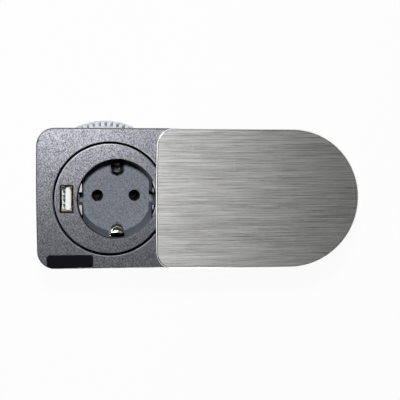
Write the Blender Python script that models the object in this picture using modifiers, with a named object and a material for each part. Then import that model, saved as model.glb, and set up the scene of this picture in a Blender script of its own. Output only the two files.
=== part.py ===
# In-desk power module: a mains socket and a USB port in a plate that seats on the desk top. A barrel under
# the plate hangs through a hole in the desk and a ring nut clamps it from below. A steel lid turns aside.
# Metres, +Z up. The origin is on the barrel's axis, in the plane where the plate seats on the desk.
# Named heights are measured from that plane, and names with DEPTH in them are positive downwards.

import math

import bmesh
import bpy
from mathutils import Matrix, Vector

MM = 0.001
GAP = 0.3 * MM  # clearance between pieces that touch in the real product
OVERSHOOT = 1.0 * MM  # how far a cutter runs past the face it opens
EMBED = 0.8 * MM  # how deep one shape is sunk into another that it is joined to

# Plate that seats on the desk
PLATE_THICKNESS = 6.0 * MM
SEAT_WIDTH = 5.8 * MM  # from the barrel's outside to the plate's long sides
END_SEAT_WIDTH = 6.6 * MM  # and to its left end
PLATE_CORNER_RADIUS = 8.5 * MM
PLATE_END_BULGE = 0.5 * MM
PLATE_EDGE_ROUNDING = 0.6 * MM

# Barrel under the plate
BARREL_SHOULDER = 0.65 * MM  # from the plate's round opening to the barrel's outside
BARREL_WALL = 2.4 * MM
BARREL_DEPTH = 68.0 * MM
BARREL_COLLAR = 9.0 * MM  # plain stretch under the plate
THREAD_HEIGHT = 0.7 * MM
THREAD_PITCH = 8.0 * MM
THREAD_CREST_WIDTH = 2.4 * MM
THREAD_ROOT_WIDTH = 3.8 * MM
THREAD_SHOULDER = 0.15 * MM  # from the collar's outside to the thread's crest

# Round insert with the socket and the USB port, set in the plate
INSERT_RIM = 3.85 * MM  # between the well's mouth and the insert's edge
PORT_BRIDGE = 2.3 * MM  # between the well's mouth and the port
PORT_RIM = 3.15 * MM  # between the port and the insert's edge
INSERT_GROOVE = 1.1 * MM
INSERT_EDGE_CHAMFER = 0.3 * MM
INSERT_SKIN = 2.5 * MM
INSERT_DEPTH = 3.4 * MM
FLANGE_HEIGHT = 1.0 * MM
FLANGE_WIDTH = 2.2 * MM
LEDGE_WIDTH = 2.25 * MM
LUG_ANGLE = math.radians(118)
LUG_WIDTH = 8.0 * MM
LUG_THICKNESS = 3.3 * MM
LUG_REACH = 5.6 * MM
LUG_BOSS_RADIUS = 3.0 * MM

# Socket well
WELL_MOUTH_RADIUS = 19.9 * MM
WELL_TAPER = 1.3 * MM  # how much the radius narrows down to the floor
WELL_DEPTH = 17.5 * MM
WELL_WALL = 1.6 * MM
WELL_FLOOR = 2.5 * MM
FLAT_INSET = 2.9 * MM  # in from the mouth's radius, as are the next two
FLAT_DROP = 1.2 * MM
KEYWAY_WIDTH = 6.4 * MM
KEYWAY_INSET = 0.9 * MM
KEYWAY_FLOOR_RISE = 0.5 * MM
PIN_SPACING = 19.0 * MM
PIN_HOLE_RADIUS = 3.0 * MM

# Earth contact, one bent strip with a spring arm on each side of the well
STRIP_WIDTH = 6.8 * MM
STRIP_THICKNESS = 0.8 * MM
CREST_INSET = 5.0 * MM
CREST_DEPTH = 11.0 * MM  # below the plate's top
ARM_CROWN = 1.5 * MM  # how far an arm's edges curve back from its middle
TAIL_LENGTH = 3.6 * MM
BULGE_RADIUS = 1.35 * MM
BULGE_LENGTH = 5.8 * MM
BULGE_HOLE_RADIUS = 0.7 * MM
SLOT_FLOOR_RISE = 0.7 * MM

# Contacts, terminals and their carrier under the well
SLEEVE_BORE_RADIUS = 2.5 * MM
SLEEVE_WALL = 0.6 * MM
SLEEVE_LENGTH = 12.4 * MM
SLEEVE_SLIT = 0.8 * MM
TERMINAL_SIZE = 8.0 * MM
EARTH_TERMINAL_SIZE = 6.6 * MM
EARTH_TERMINAL_Y = 11.2 * MM
EARTH_TAB_WIDTH = 4.0 * MM
EARTH_TAB_THICKNESS = 1.2 * MM
WIRE_HOLE_RADIUS = 1.6 * MM
CARRIER_INSET = 3.1 * MM  # in from the cup's outside
CARRIER_HEIGHT = 14.6 * MM
CARRIER_BOSS_RADIUS = 2.6 * MM
CARRIER_BOSS_LENGTH = 6.0 * MM
CARRIER_BOSS_X = 9.5 * MM
CARRIER_BOSS_Y = 11.0 * MM

# Screws, all driven from below
SCREW_RADIUS = 1.2 * MM
SCREW_LENGTH = 5.2 * MM
SCREW_HEAD_RADIUS = 2.2 * MM
SCREW_HEAD_HEIGHT = 1.5 * MM
SCREW_SLOT_WIDTH = 0.6 * MM
CARRIER_SCREW_LENGTH = 13.6 * MM
TERMINAL_SCREW_LENGTH = 2.4 * MM

# USB port and its charger
USB_SHELL_WIDTH = 5.8 * MM
USB_SHELL_LENGTH = 13.0 * MM
USB_SHELL_WALL = 0.4 * MM
USB_SHELL_HEIGHT = 17.8 * MM
USB_SHELL_DROP = 0.9 * MM
USB_SHELL_CORNER = 0.5 * MM
USB_BASE_HEIGHT = 9.4 * MM
TONGUE_OFFSET = 0.7 * MM
TONGUE_THICKNESS = 1.95 * MM
TONGUE_WIDTH = 11.1 * MM
TONGUE_DROP = 1.4 * MM
USB_CONTACT_WIDTH = 1.0 * MM
USB_CONTACT_THICKNESS = 0.3 * MM
USB_CONTACT_DROP = 4.2 * MM
USB_CONTACT_BOW = 0.9 * MM
USB_CONTACT_OUTER_PITCH = 2.5 * MM
USB_CONTACT_INNER_PITCH = 2.0 * MM
BOARD_THICKNESS = 1.6 * MM
BOARD_SIDE_CLEARANCE = 1.1 * MM  # to the barrel's wall
BOARD_FOOT = 4.0 * MM  # above the barrel's end
BOARD_OFFSET = 1.3 * MM
CORE_WIDTH = 14.0 * MM
CORE_HEIGHT = 12.0 * MM
CORE_DEPTH = 6.0 * MM
CORE_LEG = 3.6 * MM
CORE_DROP = 28.0 * MM  # from the board's top edge to the core's top
COIL_OVERHANG = 2.0 * MM
COMPONENT_LIFT = 2.6 * MM
INPUT_CAPACITOR_RADIUS = 3.5 * MM
INPUT_CAPACITOR_LENGTH = 12.0 * MM
OUTPUT_CAPACITOR_RADIUS = 3.0 * MM
OUTPUT_CAPACITOR_LENGTH = 9.0 * MM
CAPACITOR_Y = 11.2 * MM
LEAD_RADIUS = 0.7 * MM
LEAD_INSERTION = 2.0 * MM  # into the terminal's wire hole
LIVE_LEAD_Y = -7.0 * MM
NEUTRAL_LEAD_Y = -11.0 * MM
NEUTRAL_LEAD_DROP = 3.2 * MM

# Bottom cover with the cable outlet
COVER_THICKNESS = 2.5 * MM
COVER_BOSS_RADIUS = 3.0 * MM
COVER_BOSS_HEIGHT = 12.0 * MM
OUTLET_RADIUS = 4.3 * MM
OUTLET_WALL = 2.0 * MM
OUTLET_HEIGHT = 4.0 * MM
OUTLET_X = 9.0 * MM
OUTLET_Y = -9.0 * MM
RIB_Y = 11.0 * MM
RIB_LENGTH = 3.0 * MM
RIB_THICKNESS = 1.4 * MM
RIB_GRIP = 2.0 * MM

# Ring nut
NUT_TOP_DEPTH = 50.0 * MM
NUT_HEIGHT = 13.6 * MM
NUT_LAND_HEIGHT = 1.0 * MM
NUT_LAND_WIDTH = 4.7 * MM
NUT_GRIP_RADIUS = 36.9 * MM
NUT_FLANGE_HEIGHT = 2.1 * MM
NUT_FLANGE_RADIUS = 37.5 * MM
NUT_NOTCHES = 68
NUT_NOTCH_DEPTH = 2.2 * MM
NUT_NOTCH_SHARE = 0.44  # of the pitch, at the outside

# Lid and its pivot
PIVOT_OFFSET = 3.8 * MM  # from the barrel's outside to the pivot
LID_LENGTH = 103.4 * MM
LID_HEEL = 10.0 * MM  # from the pivot to the lid's straight end
LID_OVERHANG = 0.1 * MM  # past the plate on each side
LID_CORNER_RADIUS = 8.0 * MM
LID_END_BULGE = 0.6 * MM
LID_THICKNESS = 2.0 * MM
LID_EDGE_CHAMFER = 0.8 * MM
LID_CLEARANCE = 0.4 * MM  # above the plate
PIVOT_PLAY = 0.15 * MM  # between the stud and its bore
CARRIER_PLATE_THICKNESS = 1.9 * MM
CARRIER_PLATE_INSET = 1.0 * MM
UNDERSIDE_POCKET_DEPTH = 0.9 * MM
UNDERSIDE_RIM = 2.0 * MM
UNDERSIDE_POCKET_START = 14.0 * MM
STUD_RADIUS = 3.0 * MM
STUD_HOLE_RADIUS = 1.3 * MM
PIVOT_SCREW_RADIUS = 1.0 * MM
PIVOT_SCREW_HEAD_RADIUS = 3.0 * MM
PIVOT_SCREW_HEAD_HEIGHT = 1.3 * MM
PIVOT_WASHER_RADIUS = 6.4 * MM
PIVOT_WASHER_THICKNESS = 0.7 * MM
PIVOT_RECESS_DEPTH = 3.2 * MM
GLIDE_RING_WIDTH = 1.3 * MM
GLIDE_RING_THICKNESS = 0.7 * MM
STOP_PIN_RADIUS = 1.0 * MM
STOP_PIN_DISTANCE = 6.5 * MM
STOP_PIN_LENGTH = 1.2 * MM

# Badge plate let into the plate
BADGE_X = -19.9 * MM
BADGE_LENGTH = 22.8 * MM
BADGE_WIDTH = 6.2 * MM
BADGE_THICKNESS = 0.6 * MM
BADGE_CORNER_RADIUS = 1.4 * MM
BADGE_MARGIN = 0.6 * MM  # from the plate's side to the badge

LARGE_STEPS = 60
BARREL_STEPS = 36
MEDIUM_STEPS = 32
SMALL_STEPS = 16
SCREW_STEPS = 10
ARM_COLUMNS = 6

# Heights and radii that follow from the sizes above
FACE = PLATE_THICKNESS
INSERT_RADIUS = (INSERT_RIM + 2 * WELL_MOUTH_RADIUS + PORT_BRIDGE + USB_SHELL_WIDTH + PORT_RIM) / 2
WELL_X = INSERT_RADIUS - INSERT_RIM - WELL_MOUTH_RADIUS
USB_X = PORT_RIM + USB_SHELL_WIDTH / 2 - INSERT_RADIUS
OPENING_RADIUS = INSERT_RADIUS + INSERT_GROOVE
LEDGE_INNER_RADIUS = OPENING_RADIUS - LEDGE_WIDTH
BARREL_RADIUS = OPENING_RADIUS + BARREL_SHOULDER
PLATE_HALF_WIDTH = BARREL_RADIUS + SEAT_WIDTH
PLATE_LEFT = BARREL_RADIUS + END_SEAT_WIDTH
FLANGE_RADIUS = OPENING_RADIUS - GAP
FLANGE_BOTTOM = FACE - INSERT_DEPTH
LEDGE_TOP = FLANGE_BOTTOM - GAP
SKIN_BOTTOM = FACE - INSERT_SKIN
BARREL_INNER_RADIUS = BARREL_RADIUS - BARREL_WALL
THREAD_RADIUS = BARREL_RADIUS - THREAD_SHOULDER
THREAD_CORE_RADIUS = THREAD_RADIUS - THREAD_HEIGHT
LUG_SCREW_DISTANCE = BARREL_INNER_RADIUS - SCREW_HEAD_RADIUS - GAP
LUG_BOTTOM = LEDGE_TOP - LUG_THICKNESS
SCREW_HOLE_RADIUS = SCREW_RADIUS + GAP
WELL_FLOOR_RADIUS = WELL_MOUTH_RADIUS - WELL_TAPER
FLAT_DISTANCE = WELL_MOUTH_RADIUS - FLAT_INSET
KEYWAY_REACH = WELL_MOUTH_RADIUS - KEYWAY_INSET
CREST_DISTANCE = WELL_MOUTH_RADIUS - CREST_INSET
WELL_BOTTOM = FACE - WELL_DEPTH
CUP_BOTTOM = WELL_BOTTOM - WELL_FLOOR
CUP_RADIUS = WELL_MOUTH_RADIUS + WELL_WALL
CARRIER_RADIUS = CUP_RADIUS - CARRIER_INSET
STRIP_HEIGHT = CUP_BOTTOM - GAP - STRIP_THICKNESS / 2
ARM_DISTANCE = CUP_RADIUS + GAP + STRIP_THICKNESS / 2
SLOT_TOP = SKIN_BOTTOM - 0.5 * GAP
SLOT_HALF_WIDTH = STRIP_WIDTH / 2 + 0.5 * MM
CARRIER_TOP = STRIP_HEIGHT - STRIP_THICKNESS / 2 - GAP
CARRIER_BOTTOM = CARRIER_TOP - CARRIER_HEIGHT
SLEEVE_TOP = CARRIER_TOP - GAP
SLEEVE_RADIUS = SLEEVE_BORE_RADIUS + SLEEVE_WALL
TERMINAL_TOP = SLEEVE_TOP - SLEEVE_LENGTH + EMBED
TERMINAL_BOTTOM = TERMINAL_TOP - TERMINAL_SIZE
WIRE_HEIGHT = TERMINAL_BOTTOM + TERMINAL_SCREW_LENGTH + WIRE_HOLE_RADIUS
CARRIER_BOSS_BOTTOM = CUP_BOTTOM - CARRIER_BOSS_LENGTH
USB_SHELL_TOP = FACE - USB_SHELL_DROP
USB_SHELL_BOTTOM = USB_SHELL_TOP - USB_SHELL_HEIGHT
BOARD_TOP = USB_SHELL_BOTTOM - GAP
BOARD_BOTTOM = BOARD_FOOT - BARREL_DEPTH
BOARD_HEIGHT = BOARD_TOP - BOARD_BOTTOM
BOARD_X = USB_X + BOARD_OFFSET
BOARD_FACE = BOARD_X + BOARD_THICKNESS / 2
BOARD_WIDTH = 2 * math.sqrt(
    (BARREL_INNER_RADIUS - BOARD_SIDE_CLEARANCE) ** 2 - (BOARD_X - BOARD_THICKNESS / 2) ** 2
)
COVER_TOP = -BARREL_DEPTH - GAP
COVER_BOTTOM = COVER_TOP - COVER_THICKNESS
COVER_BOSS_DISTANCE = BARREL_INNER_RADIUS + EMBED / 2 - COVER_BOSS_RADIUS
NUT_TOP = -NUT_TOP_DEPTH
NUT_BOTTOM = NUT_TOP - NUT_HEIGHT
NUT_BORE_RADIUS = BARREL_RADIUS + GAP
PIVOT_X = BARREL_RADIUS + PIVOT_OFFSET
PLATE_RIGHT = PIVOT_X + LID_HEEL
LID_HALF_WIDTH = PLATE_HALF_WIDTH + LID_OVERHANG
CARRIER_PLATE_BOTTOM = FACE + LID_CLEARANCE
CARRIER_PLATE_TOP = CARRIER_PLATE_BOTTOM + CARRIER_PLATE_THICKNESS
LID_BOTTOM = CARRIER_PLATE_TOP + GAP
LID_TOP = LID_BOTTOM + LID_THICKNESS
PIVOT_BORE_RADIUS = STUD_RADIUS + PIVOT_PLAY
STUD_BOTTOM = PIVOT_RECESS_DEPTH - GAP
WASHER_TOP = STUD_BOTTOM - GAP
WASHER_BOTTOM = WASHER_TOP - PIVOT_WASHER_THICKNESS
PIVOT_SCREW_SEAT = WASHER_BOTTOM - GAP
BADGE_Y = -PLATE_HALF_WIDTH + BADGE_MARGIN + BADGE_WIDTH / 2

parts = bpy.data.collections.new("in_desk_power_module")
cutters = bpy.data.collections.new("cutters")


def clear_scene():
    for obj in list(bpy.data.objects):
        bpy.data.objects.remove(obj, do_unlink=True)
    bpy.context.scene.collection.children.link(parts)
    bpy.context.scene.collection.children.link(cutters)


def empty(name, location=(0.0, 0.0, 0.0), parent=None):
    obj = bpy.data.objects.new(name, None)
    obj.empty_display_size = 10 * MM
    obj.location = location
    obj.parent = parent
    parts.objects.link(obj)
    return obj


def material(name, colour, roughness, metallic=0.0, transmission=0.0):
    made = bpy.data.materials.new(name)
    made.use_nodes = True
    shader = made.node_tree.nodes["Principled BSDF"]
    shader.inputs["Base Color"].default_value = (*colour, 1.0)
    shader.inputs["Roughness"].default_value = roughness
    shader.inputs["Metallic"].default_value = metallic
    shader.inputs["Transmission Weight"].default_value = transmission
    return made


def object_from(name, bm):
    mesh = bpy.data.meshes.new(name)
    bm.to_mesh(mesh)
    bm.free()
    obj = bpy.data.objects.new(name, mesh)
    parts.objects.link(obj)
    return obj


def box(name, size, centre):
    bm = bmesh.new()
    bmesh.ops.create_cube(bm, size=1.0)
    bmesh.ops.scale(bm, vec=size, verts=bm.verts)
    obj = object_from(name, bm)
    obj.location = centre
    return obj


def slab(name, x, y, z):
    """A box between two limits on each axis."""
    limits = (x, y, z)
    size = [high - low for low, high in limits]
    return box(name, size, [(low + high) / 2 for low, high in limits])


def cylinder(name, radius, bottom, top, at=(0.0, 0.0), top_radius=None, steps=SMALL_STEPS):
    bm = bmesh.new()
    upper = radius if top_radius is None else top_radius
    bmesh.ops.create_cone(
        bm, cap_ends=True, segments=steps, radius1=radius, radius2=upper, depth=top - bottom
    )
    obj = object_from(name, bm)
    obj.location = (*at, (top + bottom) / 2)
    return obj


def turned(name, profile, steps=LARGE_STEPS, closed=False):
    """A profile of (radius, height) points turned about Z. It runs down the outer side."""
    bm = bmesh.new()
    points = [bm.verts.new((radius, 0.0, height)) for radius, height in profile]
    for start, end in zip(points, points[1:]):
        bm.edges.new((start, end))
    if closed:
        bm.edges.new((points[-1], points[0]))
    obj = object_from(name, bm)
    turn = obj.modifiers.new("Turn", "SCREW")
    turn.steps = turn.render_steps = steps
    turn.use_merge_vertices = True
    turn.merge_threshold = 0.00001
    turn.use_smooth_shade = False
    return obj


def arc(centre_x, centre_y, radius, start, end, steps):
    """Points from the start angle to the end angle, in degrees."""
    angles = [math.radians(start + (end - start) * i / steps) for i in range(steps + 1)]
    return [(centre_x + radius * math.cos(a), centre_y + radius * math.sin(a)) for a in angles]


def straight(start, end, steps):
    """Points between two points, both left out."""
    return [
        tuple(a + (b - a) * i / steps for a, b in zip(start, end)) for i in range(1, steps)
    ]


def bulged(points, half_width, bulge, below):
    """Pushes the points left of a limit outwards, most in the middle of the end."""
    return [
        (x - bulge * (1 - (y / half_width) ** 2), y) if x < below else (x, y) for x, y in points
    ]


def square_end(left, half_width, corner, bulge):
    """The left end of a plate, from its upper to its lower corner, bulged in the middle."""
    upper = arc(left + corner, half_width - corner, corner, 90, 180, 8)
    lower = arc(left + corner, -half_width + corner, corner, 180, 270, 8)
    side = straight(upper[-1], lower[0], 6)
    return bulged(upper + side + lower, half_width, bulge, left + corner)


def plate_outline(left, right, half_width, corner, bulge):
    left_end = square_end(left, half_width, corner, bulge)
    middle = left + right
    right_end = [(middle - x, -y) for x, y in left_end]
    return left_end + right_end


def lid_outline(left, right, half_width, corner, bulge):
    tip = arc(right - half_width, 0.0, half_width, -90, 90, MEDIUM_STEPS)
    return square_end(left, half_width, corner, bulge) + tip


def rounded_rectangle(half_length, half_width, corner, steps=5):
    points = []
    for turn in range(4):
        x = (half_length - corner) * (1 if turn in (0, 3) else -1)
        y = (half_width - corner) * (1 if turn in (0, 1) else -1)
        points += arc(x, y, corner, 90 * turn, 90 * turn + 90, steps)
    return points


def extruded(name, outline, bottom, top):
    """A flat outline given a thickness, as a mesh with undivided faces."""
    curve = bpy.data.curves.new(name, "CURVE")
    curve.dimensions = "2D"
    curve.fill_mode = "BOTH"
    curve.extrude = (top - bottom) / 2
    spline = curve.splines.new("POLY")
    spline.points.add(len(outline) - 1)
    for point, (x, y) in zip(spline.points, outline):
        point.co = (x, y, 0.0, 1.0)
    spline.use_cyclic_u = True
    shape = bpy.data.objects.new(name, curve)
    parts.objects.link(shape)
    graph = bpy.context.evaluated_depsgraph_get()
    mesh = bpy.data.meshes.new_from_object(shape.evaluated_get(graph))
    bpy.data.objects.remove(shape)
    bm = bmesh.new()
    bm.from_mesh(mesh)
    bpy.data.meshes.remove(mesh)
    bmesh.ops.remove_doubles(bm, verts=bm.verts, dist=0.000001)
    bmesh.ops.dissolve_limit(bm, angle_limit=math.radians(0.05), verts=bm.verts, edges=bm.edges)
    bmesh.ops.recalc_face_normals(bm, faces=bm.faces)
    obj = object_from(name, bm)
    obj.location.z = (top + bottom) / 2
    return obj


def round_rim(obj, height, width, steps=2):
    """Rounds the edges that lie at one height, measured like the object's own location."""
    level = height - obj.location.z
    weights = obj.data.attributes.new("bevel_weight_edge", "FLOAT", "EDGE")
    for edge in obj.data.edges:
        ends = [obj.data.vertices[index].co.z for index in edge.vertices]
        weights.data[edge.index].value = float(all(abs(z - level) < 0.01 * MM for z in ends))
    rounding = obj.modifiers.new("Rounding", "BEVEL")
    rounding.limit_method = "WEIGHT"
    rounding.width = width
    rounding.segments = steps


def moved(obj, x=0.0, y=0.0, z=0.0):
    obj.location += Vector((x, y, z))
    return obj


def turned_about_z(obj, angle):
    """Turns an object about the Z axis of its parent."""
    obj.location = Matrix.Rotation(angle, 3, "Z") @ obj.location
    obj.rotation_euler.z += angle
    return obj


def combine(target, tool, operation):
    tool.parent = target.parent if tool.parent is None else tool.parent
    for owner in list(tool.users_collection):
        owner.objects.unlink(tool)
    cutters.objects.link(tool)
    tool.hide_render = True
    tool.display_type = "WIRE"
    step = target.modifiers.new(tool.name, "BOOLEAN")
    step.operation = operation
    step.object = tool
    return target


def cut(target, *tools):
    for tool in tools:
        combine(target, tool, "DIFFERENCE")
    return target


def join(target, *tools):
    for tool in tools:
        combine(target, tool, "UNION")
    return target


def finish(obj, parent, surface):
    """Gives a piece its parent and material, and smooth shading between its sharp edges."""
    obj.parent = parent
    for step in obj.modifiers:
        if step.type == "BOOLEAN" and step.object.parent is None:
            step.object.parent = parent
    obj.data.materials.append(surface)
    obj.data.shade_smooth()
    obj.data.set_sharp_from_angle(angle=math.radians(35))
    return obj


def screw_mesh(name, radius, length, head_radius, head_height):
    """A slotted screw with its shank up. The origin is in the plane under its head."""
    profile = [
        (0.0, length),
        (radius * 0.7, length),
        (radius, length - radius * 0.4),
        (radius, 0.0),
        (head_radius, 0.0),
        (head_radius, -head_height * 0.6),
        (head_radius * 0.8, -head_height),
        (0.0, -head_height),
    ]
    screw = turned(name, profile, SCREW_STEPS)
    slot_depth = head_height / 2
    slot = box(
        name + "_slot",
        (4 * head_radius, SCREW_SLOT_WIDTH, slot_depth + OVERSHOOT),
        (0.0, 0.0, -head_height + (slot_depth - OVERSHOOT) / 2),
    )
    cut(screw, slot)
    bpy.context.view_layer.update()
    graph = bpy.context.evaluated_depsgraph_get()
    mesh = bpy.data.meshes.new_from_object(screw.evaluated_get(graph))
    mesh.name = name
    bpy.data.objects.remove(screw)
    bpy.data.objects.remove(slot)
    return mesh


def place_screw(name, mesh, location, parent):
    obj = bpy.data.objects.new(name, mesh)
    obj.location = location
    obj.parent = parent
    parts.objects.link(obj)
    return obj


def lug_point(side):
    """The place of an insert screw, on the left of the barrel's axis."""
    return (
        LUG_SCREW_DISTANCE * math.cos(LUG_ANGLE),
        side * LUG_SCREW_DISTANCE * math.sin(LUG_ANGLE),
    )


def threaded_rod(bottom, top):
    """A rod with a right-handed thread of trapezoid ridges, cut off square at both ends."""
    turns = math.ceil((top - bottom) / THREAD_PITCH) + 2
    bm = bmesh.new()
    profile = []
    for turn in range(turns):
        middle = bottom + (turn - 1) * THREAD_PITCH
        for radius, shift in (
            (THREAD_CORE_RADIUS, -THREAD_ROOT_WIDTH / 2),
            (THREAD_RADIUS, -THREAD_CREST_WIDTH / 2),
            (THREAD_RADIUS, THREAD_CREST_WIDTH / 2),
            (THREAD_CORE_RADIUS, THREAD_ROOT_WIDTH / 2),
        ):
            profile.append(bm.verts.new((radius, 0.0, middle + shift)))
    lines = [bm.edges.new(ends) for ends in zip(profile, profile[1:])]
    bmesh.ops.spin(
        bm,
        geom=profile + lines,
        axis=(0.0, 0.0, 1.0),
        dvec=(0.0, 0.0, THREAD_PITCH / BARREL_STEPS),
        angle=math.tau,
        steps=BARREL_STEPS,
    )
    bmesh.ops.remove_doubles(bm, verts=bm.verts, dist=0.001 * MM)
    for height, outwards in ((bottom, -1.0), (top, 1.0)):
        bmesh.ops.bisect_plane(
            bm,
            geom=bm.verts[:] + bm.edges[:] + bm.faces[:],
            plane_co=(0.0, 0.0, height),
            plane_no=(0.0, 0.0, outwards),
            clear_outer=True,
        )
    bmesh.ops.holes_fill(bm, edges=bm.edges)
    bmesh.ops.recalc_face_normals(bm, faces=bm.faces)
    return object_from("barrel_thread", bm)


def make_housing(root, surface):
    """The plate and the barrel under it are one moulding, open at the top and the bottom."""
    outline = plate_outline(
        -PLATE_LEFT, PLATE_RIGHT, PLATE_HALF_WIDTH, PLATE_CORNER_RADIUS, PLATE_END_BULGE
    )
    housing = extruded("base_housing", outline, 0.0, FACE)
    round_rim(housing, FACE, PLATE_EDGE_ROUNDING)
    collar = cylinder("barrel_collar", BARREL_RADIUS, -BARREL_COLLAR, EMBED, steps=BARREL_STEPS)
    rod = threaded_rod(-BARREL_DEPTH, EMBED - BARREL_COLLAR)
    bore = cylinder(
        "barrel_bore", BARREL_INNER_RADIUS, -BARREL_DEPTH - OVERSHOOT, 0.0, steps=BARREL_STEPS
    )
    join(housing, collar, rod)
    cut(housing, bore)
    shelf_hole = cylinder(
        "shelf_hole", LEDGE_INNER_RADIUS, -EMBED, FACE + OVERSHOOT, steps=LARGE_STEPS
    )
    cut(housing, shelf_hole)
    lug_outer = BARREL_INNER_RADIUS + EMBED
    for side, label in ((1, "back"), (-1, "front")):
        lug = slab(
            "insert_lug_" + label,
            (BARREL_INNER_RADIUS - LUG_REACH, lug_outer),
            (-LUG_WIDTH / 2, LUG_WIDTH / 2),
            (LUG_BOTTOM, LEDGE_TOP + EMBED),
        )
        turned_about_z(lug, side * LUG_ANGLE)
        join(housing, lug)
    opening = cylinder(
        "insert_opening", OPENING_RADIUS, LEDGE_TOP, FACE + OVERSHOOT, steps=LARGE_STEPS
    )
    cut(housing, opening)
    for side, label in ((1, "back"), (-1, "front")):
        hole = cylinder(
            "insert_screw_hole_" + label,
            SCREW_HOLE_RADIUS,
            LUG_BOTTOM - OVERSHOOT,
            LEDGE_TOP + OVERSHOOT,
            lug_point(side),
        )
        cut(housing, hole)
    for side, label in ((1, "back"), (-1, "front")):
        boss = cylinder(
            "cover_boss_" + label,
            COVER_BOSS_RADIUS,
            -BARREL_DEPTH,
            -BARREL_DEPTH + COVER_BOSS_HEIGHT,
            (0.0, side * COVER_BOSS_DISTANCE),
        )
        hole = cylinder(
            "cover_boss_hole_" + label,
            SCREW_HOLE_RADIUS,
            -BARREL_DEPTH - OVERSHOOT,
            -BARREL_DEPTH + SCREW_LENGTH + GAP,
            (0.0, side * COVER_BOSS_DISTANCE),
        )
        join(housing, boss)
        cut(housing, hole)
    cut(housing, *pivot_cutters())
    badge_outline = rounded_rectangle(
        BADGE_LENGTH / 2 + GAP, BADGE_WIDTH / 2 + GAP, BADGE_CORNER_RADIUS + GAP
    )
    badge_bed = extruded(
        "badge_bed", badge_outline, FACE - BADGE_THICKNESS - GAP, FACE + OVERSHOOT
    )
    cut(housing, moved(badge_bed, BADGE_X, BADGE_Y))
    return finish(housing, root, surface)


def pivot_cutters():
    """The lid's pivot bore, the recess for its washer and screw, and the half-round stop groove."""
    at = (PIVOT_X, 0.0)
    bore = cylinder("pivot_bore", PIVOT_BORE_RADIUS, -OVERSHOOT, FACE + OVERSHOOT, at, steps=24)
    recess = cylinder(
        "pivot_recess", PIVOT_WASHER_RADIUS + GAP, -OVERSHOOT, PIVOT_RECESS_DEPTH, at, steps=24
    )
    half_width = STOP_PIN_RADIUS + GAP
    outer = arc(0.0, 0.0, STOP_PIN_DISTANCE + half_width, -90, 90, 14)
    far_end = arc(0.0, STOP_PIN_DISTANCE, half_width, 90, 270, 8)[1:-1]
    inner = arc(0.0, 0.0, STOP_PIN_DISTANCE - half_width, 90, -90, 14)
    near_end = arc(0.0, -STOP_PIN_DISTANCE, half_width, 90, 270, 8)[1:-1]
    floor = CARRIER_PLATE_BOTTOM - LID_CLEARANCE - STOP_PIN_LENGTH - GAP
    groove = extruded("stop_groove", outer + far_end + inner + near_end, floor, FACE + OVERSHOOT)
    return bore, recess, moved(groove, PIVOT_X)


def make_badge(root, surface):
    outline = rounded_rectangle(BADGE_LENGTH / 2, BADGE_WIDTH / 2, BADGE_CORNER_RADIUS)
    badge = extruded("badge_plate", outline, FACE - BADGE_THICKNESS, FACE)
    return finish(moved(badge, BADGE_X, BADGE_Y), root, surface)


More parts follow.
